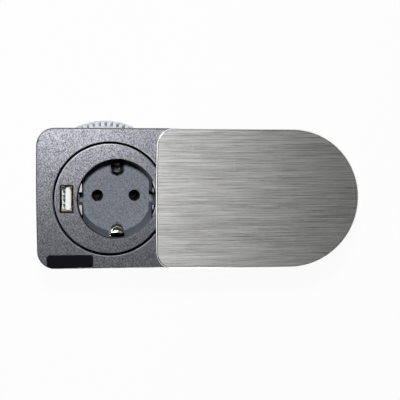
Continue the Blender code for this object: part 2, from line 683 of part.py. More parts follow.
def make_socket_face(root, surface):
    """The round insert, one moulding: its skin, the socket's cup with flats and keyways, and the flange."""
    profile = [
        (0.0, FACE),
        (INSERT_RADIUS - INSERT_EDGE_CHAMFER, FACE),
        (INSERT_RADIUS, FACE - INSERT_EDGE_CHAMFER),
        (INSERT_RADIUS, FLANGE_BOTTOM + FLANGE_HEIGHT),
        (FLANGE_RADIUS, FLANGE_BOTTOM + FLANGE_HEIGHT),
        (FLANGE_RADIUS, FLANGE_BOTTOM),
        (FLANGE_RADIUS - FLANGE_WIDTH, FLANGE_BOTTOM),
        (FLANGE_RADIUS - FLANGE_WIDTH, SKIN_BOTTOM),
        (0.0, SKIN_BOTTOM),
    ]
    face = turned("socket_face", profile)
    cup = cylinder(
        "cup_outside",
        WELL_FLOOR_RADIUS + WELL_WALL,
        CUP_BOTTOM,
        SKIN_BOTTOM + EMBED,
        (WELL_X, 0.0),
        top_radius=CUP_RADIUS,
        steps=LARGE_STEPS,
    )
    join(face, cup)
    for side, label in ((1, "back"), (-1, "front")):
        boss = cylinder(
            "insert_boss_" + label,
            LUG_BOSS_RADIUS,
            FLANGE_BOTTOM + GAP / 2,
            SKIN_BOTTOM + EMBED,
            lug_point(side),
        )
        hole = cylinder(
            "insert_boss_hole_" + label,
            SCREW_HOLE_RADIUS,
            FLANGE_BOTTOM - OVERSHOOT,
            LUG_BOTTOM + SCREW_LENGTH,
            lug_point(side),
        )
        join(face, boss)
        cut(face, hole)
    for end in (-1, 1):
        at = (WELL_X + end * CARRIER_BOSS_X, end * CARRIER_BOSS_Y)
        label = "right" if end > 0 else "left"
        boss = cylinder(
            "carrier_boss_" + label, CARRIER_BOSS_RADIUS, CARRIER_BOSS_BOTTOM, CUP_BOTTOM + EMBED, at
        )
        hole = cylinder(
            "carrier_boss_hole_" + label,
            SCREW_HOLE_RADIUS,
            CARRIER_BOSS_BOTTOM - OVERSHOOT,
            CARRIER_BOTTOM - GAP + CARRIER_SCREW_LENGTH + GAP,
            at,
        )
        join(face, boss)
        cut(face, hole)
    cut(face, moved(make_well_cutter(), WELL_X))
    for side, label in ((1, "right"), (-1, "left")):
        hole = cylinder(
            "pin_hole_" + label,
            PIN_HOLE_RADIUS,
            CUP_BOTTOM - OVERSHOOT,
            WELL_BOTTOM + OVERSHOOT,
            (WELL_X + side * PIN_SPACING / 2, 0.0),
            steps=24,
        )
        cut(face, hole)
    for side, label in ((1, "back"), (-1, "front")):
        reach = sorted((side * (CREST_DISTANCE + EMBED), side * (CUP_RADIUS + OVERSHOOT)))
        slot = slab(
            "earth_slot_" + label,
            (WELL_X - SLOT_HALF_WIDTH, WELL_X + SLOT_HALF_WIDTH),
            reach,
            (WELL_BOTTOM + SLOT_FLOOR_RISE, SLOT_TOP),
        )
        cut(face, slot)
    aperture_outline = rounded_rectangle(
        USB_SHELL_WIDTH / 2 + GAP, USB_SHELL_LENGTH / 2 + GAP, USB_SHELL_CORNER, 3
    )
    aperture = extruded(
        "usb_aperture", aperture_outline, SKIN_BOTTOM - OVERSHOOT, FACE + OVERSHOOT
    )
    cut(face, moved(aperture, USB_X))
    return finish(face, root, surface)


def make_well_cutter():
    """The hollow of the well: a taper with a flat on each side, and a keyway across both flats."""
    slope = (WELL_MOUTH_RADIUS - WELL_FLOOR_RADIUS) / WELL_DEPTH
    hollow = cylinder(
        "well_hollow",
        WELL_FLOOR_RADIUS,
        WELL_BOTTOM,
        FACE + OVERSHOOT,
        top_radius=WELL_MOUTH_RADIUS + slope * OVERSHOOT,
        steps=LARGE_STEPS,
    )
    for side, label in ((1, "right"), (-1, "left")):
        reach = sorted((side * FLAT_DISTANCE, side * (WELL_MOUTH_RADIUS + OVERSHOOT)))
        flat = slab(
            "well_flat_" + label,
            reach,
            (-WELL_MOUTH_RADIUS, WELL_MOUTH_RADIUS),
            (WELL_BOTTOM - OVERSHOOT, FACE - FLAT_DROP),
        )
        cut(hollow, flat)
    keyway = slab(
        "keyway",
        (-KEYWAY_REACH, KEYWAY_REACH),
        (-KEYWAY_WIDTH / 2, KEYWAY_WIDTH / 2),
        (WELL_BOTTOM + KEYWAY_FLOOR_RISE, FACE - FLAT_DROP + GAP),
    )
    join(hollow, keyway)
    for step in hollow.modifiers:
        step.object.parent = hollow
        step.object.location.z -= hollow.location.z
    return hollow


def make_earth_contact(socket, surface):
    """A strip bent up outside the cup on both sides, and folded over into the well as two spring arms."""
    crest = Vector((CREST_DISTANCE, FACE - CREST_DEPTH))
    fold_top = SLOT_TOP - GAP - STRIP_THICKNESS / 2
    shoulder = Vector((WELL_MOUTH_RADIUS, fold_top))
    tail = crest + TAIL_LENGTH * Vector((0.6, -0.8))
    ramp = crest - shoulder
    path = [  # each point with how much of the crown the strip has there
        (Vector((0.0, STRIP_HEIGHT)), 0.0),
        (Vector((ARM_DISTANCE, STRIP_HEIGHT)), 0.0),
        (Vector((ARM_DISTANCE, fold_top - STRIP_THICKNESS)), 0.0),
        (Vector((ARM_DISTANCE - STRIP_THICKNESS / 2, fold_top)), 0.0),
        (shoulder, 0.0),
        (shoulder + 0.4 * ramp, 0.5),
        (shoulder + 0.75 * ramp, 0.9),
        (crest, 1.0),
        (tail, 1.0),
    ]
    bm = bmesh.new()
    rows = []
    for point, crown in path:
        rows.append([])
        for column in range(ARM_COLUMNS + 1):
            across = 2 * column / ARM_COLUMNS - 1
            back = crown * ARM_CROWN * across**2
            rows[-1].append(bm.verts.new((across * STRIP_WIDTH / 2, point.x + back, point.y)))
    for start, end in zip(rows, rows[1:]):
        for column in range(ARM_COLUMNS):
            bm.faces.new(
                (start[column], start[column + 1], end[column + 1], end[column])
            )
    strip = object_from("earth_contact", bm)
    mirror = strip.modifiers.new("Other arm", "MIRROR")
    mirror.use_axis = (False, True, False)
    mirror.merge_threshold = 0.00001
    thicken = strip.modifiers.new("Thickness", "SOLIDIFY")
    thicken.thickness = STRIP_THICKNESS
    thicken.offset = 0.0
    thicken.use_even_offset = True
    lean = math.atan2(ramp.x, -ramp.y)
    middle = crest - ramp.normalized() * BULGE_LENGTH * 0.42
    for side, label in ((1, "back"), (-1, "front")):
        tilt = Matrix.Rotation(side * lean, 3, "X")
        bm = bmesh.new()
        bmesh.ops.create_uvsphere(bm, u_segments=12, v_segments=8, radius=1.0)
        size = (BULGE_RADIUS, BULGE_RADIUS, BULGE_LENGTH / 2)
        bmesh.ops.scale(bm, vec=size, verts=bm.verts)
        bulge = object_from("contact_bulge_" + label, bm)
        bulge.location = (0.0, side * middle.x, middle.y)
        bulge.rotation_euler = tilt.to_euler()
        join(strip, bulge)
        hole = cylinder(
            "bulge_hole_" + label, BULGE_HOLE_RADIUS, -2 * BULGE_RADIUS, 2 * BULGE_RADIUS, steps=12
        )
        hole.location = bulge.location
        hole.rotation_euler = (tilt @ Matrix.Rotation(math.radians(90), 3, "X")).to_euler()
        cut(strip, hole)
    block_top = TERMINAL_TOP
    tab = slab(
        "earth_tab",
        (-EARTH_TAB_WIDTH / 2, EARTH_TAB_WIDTH / 2),
        (EARTH_TERMINAL_Y - EARTH_TAB_THICKNESS / 2, EARTH_TERMINAL_Y + EARTH_TAB_THICKNESS / 2),
        (block_top - EMBED, STRIP_HEIGHT + STRIP_THICKNESS / 4),
    )
    block = terminal_block("earth_block", EARTH_TERMINAL_SIZE, 0.0, EARTH_TERMINAL_Y)
    join(strip, tab, block)
    cut(strip, *terminal_holes("earth", 0.0, EARTH_TERMINAL_Y, EARTH_TERMINAL_SIZE))
    return finish(strip, socket, surface)


def terminal_block(name, size, x, y):
    return slab(
        name,
        (x - size / 2, x + size / 2),
        (y - size / 2, y + size / 2),
        (TERMINAL_BOTTOM, TERMINAL_TOP),
    )


def terminal_holes(label, x, y, size):
    """The wire's hole along Y, and the screw's hole from below."""
    wire_hole = cylinder(label + "_wire_hole", WIRE_HOLE_RADIUS, -size, size)
    wire_hole.rotation_euler.x = math.radians(90)
    wire_hole.location = (x, y, WIRE_HEIGHT)
    screw_hole = cylinder(
        label + "_screw_hole", SCREW_HOLE_RADIUS, TERMINAL_BOTTOM - OVERSHOOT, WIRE_HEIGHT, (x, y)
    )
    return wire_hole, screw_hole


def make_pole_contact(name, side, socket, surface):
    """A slit sleeve that grips the plug's pin, with its terminal block under it."""
    x = side * PIN_SPACING / 2
    contact = turned(
        name,
        [
            (SLEEVE_BORE_RADIUS, SLEEVE_TOP),
            (SLEEVE_RADIUS, SLEEVE_TOP),
            (SLEEVE_RADIUS, SLEEVE_TOP - SLEEVE_LENGTH),
            (SLEEVE_BORE_RADIUS, SLEEVE_TOP - SLEEVE_LENGTH),
        ],
        steps=24,
        closed=True,
    )
    contact.location.x = x
    slit = slab(
        name + "_slit",
        (x - SLEEVE_SLIT / 2, x + SLEEVE_SLIT / 2),
        (-SLEEVE_RADIUS - OVERSHOOT, SLEEVE_RADIUS + OVERSHOOT),
        (TERMINAL_TOP + SLEEVE_WALL, SLEEVE_TOP + OVERSHOOT),
    )
    cut(contact, slit)
    join(contact, terminal_block(name + "_block", TERMINAL_SIZE, x, 0.0))
    cut(contact, *terminal_holes(name, x, 0.0, TERMINAL_SIZE))
    return finish(contact, socket, surface)


def make_contact_carrier(socket, surface):
    """The insulating block under the well, with a pocket for each contact and its terminal."""
    carrier = cylinder(
        "contact_carrier", CARRIER_RADIUS, CARRIER_BOTTOM, CARRIER_TOP, steps=MEDIUM_STEPS
    )
    pocket_top = TERMINAL_TOP + GAP
    for side, label in ((1, "right"), (-1, "left")):
        x = side * PIN_SPACING / 2
        sleeve_pocket = cylinder(
            "sleeve_pocket_" + label,
            SLEEVE_RADIUS + GAP,
            TERMINAL_TOP,
            CARRIER_TOP + OVERSHOOT,
            (x, 0.0),
            steps=24,
        )
        half = TERMINAL_SIZE / 2 + GAP
        terminal_pocket = slab(
            "terminal_pocket_" + label,
            (x - half, x + half),
            (-half, half),
            (CARRIER_BOTTOM - OVERSHOOT, pocket_top),
        )
        at = (side * CARRIER_BOSS_X, side * CARRIER_BOSS_Y)
        boss_pocket = cylinder(
            "boss_pocket_" + label,
            CARRIER_BOSS_RADIUS + GAP,
            CARRIER_BOSS_BOTTOM - GAP,
            CARRIER_TOP + OVERSHOOT,
            at,
        )
        screw_hole = cylinder(
            "carrier_screw_hole_" + label,
            SCREW_HOLE_RADIUS,
            CARRIER_BOTTOM - OVERSHOOT,
            CARRIER_BOSS_BOTTOM + GAP,
            at,
        )
        cut(carrier, sleeve_pocket, terminal_pocket, boss_pocket, screw_hole)
    half = EARTH_TERMINAL_SIZE / 2 + GAP
    earth_pocket = slab(
        "earth_pocket",
        (-half, half),
        (EARTH_TERMINAL_Y - half, EARTH_TERMINAL_Y + half),
        (CARRIER_BOTTOM - OVERSHOOT, pocket_top),
    )
    tab_half = EARTH_TAB_THICKNESS / 2 + GAP
    tab_slot = slab(
        "earth_tab_slot",
        (-EARTH_TAB_WIDTH / 2 - GAP, EARTH_TAB_WIDTH / 2 + GAP),
        (EARTH_TERMINAL_Y - tab_half, EARTH_TERMINAL_Y + tab_half),
        (TERMINAL_TOP, CARRIER_TOP + OVERSHOOT),
    )
    cut(carrier, earth_pocket, tab_slot)
    return finish(carrier, socket, surface)


def make_usb_port(usb, shell_metal, white, contact_metal):
    """The receptacle: a folded shell, the insulator with its tongue, and four contact springs."""
    half_width = USB_SHELL_WIDTH / 2
    half_length = USB_SHELL_LENGTH / 2
    outline = rounded_rectangle(half_width, half_length, USB_SHELL_CORNER, 3)
    shell = extruded("usb_shell", outline, USB_SHELL_BOTTOM, USB_SHELL_TOP)
    inside = rounded_rectangle(
        half_width - USB_SHELL_WALL,
        half_length - USB_SHELL_WALL,
        USB_SHELL_CORNER - USB_SHELL_WALL / 2,
        3,
    )
    hollow = extruded(
        "usb_shell_hollow", inside, USB_SHELL_BOTTOM - OVERSHOOT, USB_SHELL_TOP + OVERSHOOT
    )
    cut(shell, hollow)
    finish(shell, usb, shell_metal)

    seat = USB_SHELL_WALL + GAP
    base_bottom = USB_SHELL_BOTTOM
    base_top = base_bottom + USB_BASE_HEIGHT
    tongue_left = TONGUE_OFFSET - TONGUE_THICKNESS / 2
    insulator = slab(
        "usb_tongue",
        (-half_width + seat, half_width - seat),
        (-half_length + seat, half_length - seat),
        (base_bottom, base_top),
    )
    tongue = slab(
        "usb_tongue_blade",
        (tongue_left, tongue_left + TONGUE_THICKNESS),
        (-TONGUE_WIDTH / 2, TONGUE_WIDTH / 2),
        (base_top - EMBED, FACE - TONGUE_DROP),
    )
    join(insulator, tongue)
    finish(insulator, usb, white)

    inner = USB_CONTACT_INNER_PITCH / 2
    outer = inner + USB_CONTACT_OUTER_PITCH
    root_x = tongue_left - GAP - USB_CONTACT_THICKNESS / 2
    low = base_top + GAP
    high = FACE - USB_CONTACT_DROP
    for number, y in enumerate((outer, inner, -inner, -outer), start=1):
        bm = bmesh.new()
        rows = []
        for step in range(7):
            share = step / 6
            bow = USB_CONTACT_BOW * math.sin(math.pi * share)
            x = root_x - bow
            z = low + (high - low) * share
            half = USB_CONTACT_WIDTH / 2
            rows.append([bm.verts.new((x, y + half, z)), bm.verts.new((x, y - half, z))])
        for start, end in zip(rows, rows[1:]):
            bm.faces.new((start[0], start[1], end[1], end[0]))
        spring = object_from("usb_contact_" + str(number), bm)
        thicken = spring.modifiers.new("Thickness", "SOLIDIFY")
        thicken.thickness = USB_CONTACT_THICKNESS
        thicken.offset = 0.0
        finish(spring, usb, contact_metal)


def make_charger(root, board_green, ferrite, copper, can, case):
    """The circuit board that feeds the port, on edge, with its transformer and capacitors."""
    board = slab(
        "charger_board",
        (BOARD_X - BOARD_THICKNESS / 2, BOARD_FACE),
        (-BOARD_WIDTH / 2, BOARD_WIDTH / 2),
        (BOARD_BOTTOM, BOARD_TOP),
    )
    finish(board, root, board_green)

    core_x = BOARD_FACE + GAP + COIL_OVERHANG
    core_top = BOARD_TOP - CORE_DROP
    core = slab(
        "transformer_core",
        (core_x, core_x + CORE_DEPTH),
        (-CORE_WIDTH / 2, CORE_WIDTH / 2),
        (core_top - CORE_HEIGHT, core_top),
    )
    rail = CORE_LEG / 2
    window_width = (CORE_WIDTH - 2 * CORE_LEG) / 2
    for side, label in ((1, "back"), (-1, "front")):
        reach = sorted((side * CORE_LEG / 2, side * (CORE_LEG / 2 + window_width)))
        window = slab(
            "core_window_" + label,
            (core_x - OVERSHOOT, core_x + CORE_DEPTH + OVERSHOOT),
            reach,
            (core_top - CORE_HEIGHT + rail, core_top - rail),
        )
        cut(core, window)
    finish(core, root, ferrite)

    coil_half = CORE_LEG / 2 + window_width - GAP
    coil = slab(
        "transformer_coil",
        (core_x - COIL_OVERHANG, core_x + CORE_DEPTH + COIL_OVERHANG),
        (-coil_half, coil_half),
        (core_top - CORE_HEIGHT + rail + GAP, core_top - rail - GAP),
    )
    leg_hole = slab(
        "coil_leg_hole",
        (core_x - GAP, core_x + CORE_DEPTH + GAP),
        (-CORE_LEG / 2 - GAP, CORE_LEG / 2 + GAP),
        (core_top - CORE_HEIGHT, core_top),
    )
    cut(coil, leg_hole)
    finish(coil, root, copper)

    middle = core_top - CORE_HEIGHT / 2
    for name, side, radius, length, surface in (
        ("input_capacitor", 1, INPUT_CAPACITOR_RADIUS, INPUT_CAPACITOR_LENGTH, can),
        ("output_capacitor", -1, OUTPUT_CAPACITOR_RADIUS, OUTPUT_CAPACITOR_LENGTH, case),
    ):
        ridge = length * 0.12
        capacitor = turned(
            name,
            [
                (0.0, length),
                (radius - ridge / 2, length),
                (radius, length - ridge / 2),
                (radius, ridge * 1.6),
                (radius - ridge / 3, ridge * 1.2),
                (radius, ridge * 0.8),
                (radius, 0.0),
                (0.0, 0.0),
            ],
            steps=SMALL_STEPS,
        )
        capacitor.rotation_euler.y = math.radians(90)
        capacitor.location = (BOARD_FACE + GAP, side * CAPACITOR_Y, middle)
        finish(capacitor, root, surface)


def lead(name, path, root, surface):
    """An insulated wire along a path of points."""
    curve = bpy.data.curves.new(name, "CURVE")
    curve.dimensions = "3D"
    curve.bevel_depth = LEAD_RADIUS
    curve.bevel_resolution = 1
    curve.use_fill_caps = True
    spline = curve.splines.new("POLY")
    spline.points.add(len(path) - 1)
    for point, place in zip(spline.points, path):
        point.co = (*place, 1.0)
    obj = bpy.data.objects.new(name, curve)
    obj.parent = root
    curve.materials.append(surface)
    parts.objects.link(obj)
    return obj


def make_leads(root, live_surface, neutral_surface):
    """The two leads that feed the board from the front wire holes of the terminals."""
    hole_mouth = -TERMINAL_SIZE / 2
    end = BOARD_FACE + GAP
    live_x = WELL_X - PIN_SPACING / 2
    neutral_x = WELL_X + PIN_SPACING / 2
    low = WIRE_HEIGHT - NEUTRAL_LEAD_DROP
    live_path = [
        (live_x, hole_mouth + LEAD_INSERTION, WIRE_HEIGHT),
        (live_x, LIVE_LEAD_Y + LEAD_RADIUS, WIRE_HEIGHT),
        (live_x - LEAD_RADIUS, LIVE_LEAD_Y, WIRE_HEIGHT),
        (end, LIVE_LEAD_Y, WIRE_HEIGHT),
    ]
    neutral_path = [
        (neutral_x, hole_mouth + LEAD_INSERTION, WIRE_HEIGHT),
        (neutral_x, hole_mouth - LEAD_INSERTION, WIRE_HEIGHT),
        (neutral_x, NEUTRAL_LEAD_Y, low),
        (neutral_x - LEAD_INSERTION, NEUTRAL_LEAD_Y, low),
        (end, NEUTRAL_LEAD_Y, low),
    ]
    lead("live_lead", live_path, root, live_surface)
    lead("neutral_lead", neutral_path, root, neutral_surface)


def make_bottom_cover(root, surface):
    """Closes the barrel. It has the cable's outlet, and two slotted ribs that hold the board's foot."""
    cover = cylinder(
        "bottom_cover", THREAD_CORE_RADIUS, COVER_BOTTOM, COVER_TOP, steps=BARREL_STEPS
    )
    at = (OUTLET_X, OUTLET_Y)
    collar = cylinder(
        "outlet_collar",
        OUTLET_RADIUS + OUTLET_WALL,
        COVER_BOTTOM - OUTLET_HEIGHT,
        COVER_BOTTOM + EMBED,
        at,
        steps=24,
    )
    outlet = cylinder(
        "cable_outlet",
        OUTLET_RADIUS,
        COVER_BOTTOM - OUTLET_HEIGHT - OVERSHOOT,
        COVER_TOP + OVERSHOOT,
        at,
        steps=24,
    )
    join(cover, collar)
    cut(cover, outlet)
    slot_floor = BOARD_BOTTOM - GAP
    slot_half = BOARD_THICKNESS / 2 + GAP
    for side, label in ((1, "back"), (-1, "front")):
        reach = (side * RIB_Y - RIB_LENGTH / 2, side * RIB_Y + RIB_LENGTH / 2)
        rib = slab(
            "board_rib_" + label,
            (BOARD_X - slot_half - RIB_THICKNESS, BOARD_X + slot_half + RIB_THICKNESS),
            reach,
            (COVER_TOP - EMBED, slot_floor + RIB_GRIP),
        )
        slot = slab(
            "board_slot_" + label,
            (BOARD_X - slot_half, BOARD_X + slot_half),
            (reach[0] - OVERSHOOT, reach[1] + OVERSHOOT),
            (slot_floor, slot_floor + RIB_GRIP + OVERSHOOT),
        )
        join(cover, rib)
        cut(cover, slot)
    for side, label in ((1, "back"), (-1, "front")):
        hole = cylinder(
            "cover_screw_hole_" + label,
            SCREW_HOLE_RADIUS,
            COVER_BOTTOM - OVERSHOOT,
            COVER_TOP + OVERSHOOT,
            (0.0, side * COVER_BOSS_DISTANCE),
        )
        cut(cover, hole)
    return finish(cover, root, surface)


def make_ring_nut(root, surface):
    """The clamping nut: a land that presses on the desk, a notched grip, and a flange below."""
    grip_top = NUT_TOP - NUT_LAND_HEIGHT
    flange_top = NUT_BOTTOM + NUT_FLANGE_HEIGHT
    pitch = 360 / NUT_NOTCHES
    inner_share = NUT_NOTCH_SHARE * 0.8
    outline = []
    for notch in range(NUT_NOTCHES):
        middle = notch * pitch
        for share, radius in (
            (-NUT_NOTCH_SHARE, NUT_GRIP_RADIUS),
            (-inner_share, NUT_GRIP_RADIUS - NUT_NOTCH_DEPTH),
            (inner_share, NUT_GRIP_RADIUS - NUT_NOTCH_DEPTH),
            (NUT_NOTCH_SHARE, NUT_GRIP_RADIUS),
        ):
            angle = math.radians(middle + share * pitch / 2)
            outline.append((radius * math.cos(angle), radius * math.sin(angle)))
    nut = extruded("ring_nut", outline, flange_top - EMBED, grip_top)
    land = cylinder(
        "nut_land",
        NUT_BORE_RADIUS + NUT_LAND_WIDTH,
        grip_top - EMBED,
        NUT_TOP,
        steps=LARGE_STEPS,
    )
    flange = cylinder("nut_flange", NUT_FLANGE_RADIUS, NUT_BOTTOM, flange_top, steps=LARGE_STEPS)
    bore = cylinder(
        "nut_bore", NUT_BORE_RADIUS, NUT_BOTTOM - OVERSHOOT, NUT_TOP + OVERSHOOT, steps=LARGE_STEPS
    )
    join(nut, land, flange)
    cut(nut, bore)
    return finish(nut, root, surface)


def make_lid(pivot, steel, plastic, zinc, glide):
    """The lid, measured from its pivot: the steel plate, the carrier under it, and the pivot's pieces."""
    left = -LID_HEEL
    right = LID_LENGTH - LID_HEEL
    plate = extruded(
        "lid_plate",
        lid_outline(left, right, LID_HALF_WIDTH, LID_CORNER_RADIUS, LID_END_BULGE),
        LID_BOTTOM,
        LID_TOP,
    )
    round_rim(plate, LID_TOP, LID_EDGE_CHAMFER)
    finish(plate, pivot, steel)

    inset = CARRIER_PLATE_INSET
    carrier = extruded(
        "lid_carrier",
        lid_outline(
            left + inset,
            right - inset,
            LID_HALF_WIDTH - inset,
            LID_CORNER_RADIUS - inset,
            LID_END_BULGE,
        ),
        CARRIER_PLATE_BOTTOM,
        CARRIER_PLATE_TOP,
    )
    rim = inset + UNDERSIDE_RIM
    pocket_corner = LID_CORNER_RADIUS - rim
    pocket = extruded(
        "underside_pocket",
        lid_outline(
            UNDERSIDE_POCKET_START, right - rim, LID_HALF_WIDTH - rim, pocket_corner, 0.0
        ),
        CARRIER_PLATE_BOTTOM - OVERSHOOT,
        CARRIER_PLATE_BOTTOM + UNDERSIDE_POCKET_DEPTH,
    )
    cut(carrier, pocket)
    glide_inner = STUD_RADIUS + GAP
    glide_outer = glide_inner + GLIDE_RING_WIDTH
    glide_bottom = FACE + GAP
    glide_top = glide_bottom + GLIDE_RING_THICKNESS
    glide_bed = cylinder(
        "glide_bed",
        glide_outer + GAP,
        CARRIER_PLATE_BOTTOM - OVERSHOOT,
        glide_top + GAP,
        steps=24,
    )
    cut(carrier, glide_bed)
    stud = cylinder("pivot_stud", STUD_RADIUS, STUD_BOTTOM, glide_top + GAP + EMBED, steps=24)
    stop_pin = cylinder(
        "stop_pin",
        STOP_PIN_RADIUS,
        FACE - STOP_PIN_LENGTH,
        CARRIER_PLATE_BOTTOM + EMBED,
        (0.0, -STOP_PIN_DISTANCE),
    )
    stud_hole = cylinder(
        "stud_hole", STUD_HOLE_RADIUS, STUD_BOTTOM - OVERSHOOT, glide_top + GAP, steps=16
    )
    join(carrier, stud, stop_pin)
    cut(carrier, stud_hole)
    finish(carrier, pivot, plastic)

    ring = turned(
        "glide_ring",
        [
            (glide_inner, glide_top),
            (glide_outer, glide_top),
            (glide_outer, glide_bottom),
            (glide_inner, glide_bottom),
        ],
        steps=24,
        closed=True,
    )
    finish(ring, pivot, glide)

    washer = turned(
        "pivot_washer",
        [
            (PIVOT_SCREW_RADIUS + GAP, WASHER_TOP),
            (PIVOT_WASHER_RADIUS, WASHER_TOP),
            (PIVOT_WASHER_RADIUS, WASHER_BOTTOM),
            (PIVOT_SCREW_RADIUS + GAP, WASHER_BOTTOM),
        ],
        steps=24,
        closed=True,
    )
    finish(washer, pivot, zinc)
    length = glide_top - PIVOT_SCREW_SEAT
    mesh = screw_mesh(
        "pivot_screw", PIVOT_SCREW_RADIUS, length, PIVOT_SCREW_HEAD_RADIUS, PIVOT_SCREW_HEAD_HEIGHT
    )
    screw = place_screw("pivot_screw", mesh, (0.0, 0.0, PIVOT_SCREW_SEAT), pivot)
    finish(screw, pivot, zinc)


def make_screws(root, socket, surface):
    """The screws of the insert, the contact carrier, the terminals and the bottom cover."""
    head = (SCREW_HEAD_RADIUS, SCREW_HEAD_HEIGHT)
    short = screw_mesh("case_screw", SCREW_RADIUS, SCREW_LENGTH, *head)
    long = screw_mesh("carrier_screw", SCREW_RADIUS, CARRIER_SCREW_LENGTH, *head)
    clamp = screw_mesh("terminal_screw", SCREW_RADIUS, TERMINAL_SCREW_LENGTH, *head)
    for mesh in (short, long, clamp):
        mesh.materials.append(surface)
        mesh.shade_smooth()
        mesh.set_sharp_from_angle(angle=math.radians(35))
    for number, side in enumerate((1, -1), start=1):
        label = str(number)
        place_screw("insert_screw_" + label, short, (*lug_point(side), LUG_BOTTOM - GAP), root)
        at = (0.0, side * COVER_BOSS_DISTANCE, COVER_BOTTOM - GAP)
        place_screw("cover_screw_" + label, short, at, root)
        at = (side * CARRIER_BOSS_X, side * CARRIER_BOSS_Y, CARRIER_BOTTOM - GAP)
        place_screw("carrier_screw_" + label, long, at, socket)
    seat = TERMINAL_BOTTOM - GAP
    place_screw("live_terminal_screw", clamp, (-PIN_SPACING / 2, 0.0, seat), socket)
    place_screw("neutral_terminal_screw", clamp, (PIN_SPACING / 2, 0.0, seat), socket)
    place_screw("earth_terminal_screw", clamp, (0.0, EARTH_TERMINAL_Y, seat), socket)


def main():
    clear_scene()
    anthracite = material("anthracite_plastic", (0.055, 0.058, 0.065), 0.62)
    badge_black = material("badge_black", (0.006, 0.006, 0.007), 0.3)
    insulator = material("carrier_thermoset", (0.72, 0.71, 0.66), 0.5)
    nickel = material("nickelled_spring_brass", (0.72, 0.68, 0.6), 0.18, 1.0)
    brass = material("contact_brass", (0.78, 0.57, 0.25), 0.3, 1.0)
    zinc = material("zinced_screw_steel", (0.62, 0.63, 0.64), 0.35, 1.0)
    shell_metal = material("usb_shell_steel", (0.62, 0.58, 0.5), 0.3, 1.0)
    white = material("usb_tongue_white", (0.85, 0.86, 0.84), 0.4)
    gold = material("usb_contact_gold", (0.1, 0.5, 0.3), 0.3, 0.6)
    board_green = material("board_green", (0.03, 0.2, 0.08), 0.45)
    ferrite = material("core_ferrite", (0.05, 0.05, 0.055), 0.6)
    copper = material("coil_tape_yellow", (0.75, 0.6, 0.12), 0.5)
    can = material("capacitor_sleeve_blue", (0.03, 0.06, 0.18), 0.35)
    case = material("capacitor_sleeve_black", (0.02, 0.02, 0.022), 0.35)
    lead_brown = material("lead_brown", (0.16, 0.07, 0.03), 0.5)
    lead_blue = material("lead_blue", (0.03, 0.12, 0.45), 0.5)
    cover_grey = material("bottom_cover_grey", (0.09, 0.09, 0.095), 0.6)
    nut_white = material("ring_nut_translucent", (0.78, 0.8, 0.84), 0.35, 0.0, 0.3)
    steel = material("lid_brushed_steel", (0.63, 0.63, 0.62), 0.32, 1.0)
    carrier_black = material("lid_carrier_black", (0.02, 0.02, 0.022), 0.55)
    glide = material("glide_ring_natural", (0.8, 0.8, 0.76), 0.4)

    root = empty("power_module")
    socket = empty("socket_axis", (WELL_X, 0.0, 0.0), root)
    usb = empty("usb_axis", (USB_X, 0.0, 0.0), root)
    pivot = empty("lid_pivot_axis", (PIVOT_X, 0.0, 0.0), root)

    make_housing(root, anthracite)
    make_badge(root, badge_black)
    make_socket_face(root, anthracite)
    make_earth_contact(socket, nickel)
    make_pole_contact("live_contact", -1, socket, brass)
    make_pole_contact("neutral_contact", 1, socket, brass)
    make_contact_carrier(socket, insulator)
    make_usb_port(usb, shell_metal, white, gold)
    make_charger(root, board_green, ferrite, copper, can, case)
    make_leads(root, lead_brown, lead_blue)
    make_bottom_cover(root, cover_grey)
    make_ring_nut(root, nut_white)
    make_lid(pivot, steel, carrier_black, zinc, glide)
    make_screws(root, socket, zinc)
    bpy.context.view_layer.update()


main()
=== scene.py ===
# In-desk power module, dressed over its CAD frame. Metres, +Z up, origin where the plate seats on the desk.
import math

import bmesh
import bpy
from mathutils import Matrix, Vector


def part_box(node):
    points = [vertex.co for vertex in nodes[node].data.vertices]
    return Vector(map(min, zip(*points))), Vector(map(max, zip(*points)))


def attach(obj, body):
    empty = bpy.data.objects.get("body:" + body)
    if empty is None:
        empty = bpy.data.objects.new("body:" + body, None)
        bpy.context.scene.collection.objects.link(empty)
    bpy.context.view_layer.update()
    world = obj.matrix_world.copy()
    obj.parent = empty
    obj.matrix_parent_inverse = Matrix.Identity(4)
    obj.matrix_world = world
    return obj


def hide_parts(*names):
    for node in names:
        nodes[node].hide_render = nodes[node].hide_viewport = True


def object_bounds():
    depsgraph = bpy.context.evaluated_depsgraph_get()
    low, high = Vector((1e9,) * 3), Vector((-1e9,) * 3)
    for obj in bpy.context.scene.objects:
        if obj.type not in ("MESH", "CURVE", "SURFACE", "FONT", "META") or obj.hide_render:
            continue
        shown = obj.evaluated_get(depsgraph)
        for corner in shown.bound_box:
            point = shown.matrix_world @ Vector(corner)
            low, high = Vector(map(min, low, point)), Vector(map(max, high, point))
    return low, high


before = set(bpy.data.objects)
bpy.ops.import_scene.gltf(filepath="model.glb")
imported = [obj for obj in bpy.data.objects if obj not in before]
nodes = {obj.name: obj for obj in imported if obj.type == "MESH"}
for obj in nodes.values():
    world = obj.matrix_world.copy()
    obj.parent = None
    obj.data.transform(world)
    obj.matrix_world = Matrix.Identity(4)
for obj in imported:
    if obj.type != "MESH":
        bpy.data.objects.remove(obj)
cadBox = [list(corner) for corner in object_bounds()]
mm = 0.001
mergeDistance = 2e-6


# small helpers

def addNode(tree, kind, **values):  # a value is a property of the node, or else one of its sockets
    node = tree.nodes.new(kind)
    for key, value in values.items():
        if hasattr(node, key):
            setattr(node, key, value)
        else:
            node.inputs[key.replace("_", " ")].default_value = value
    return node


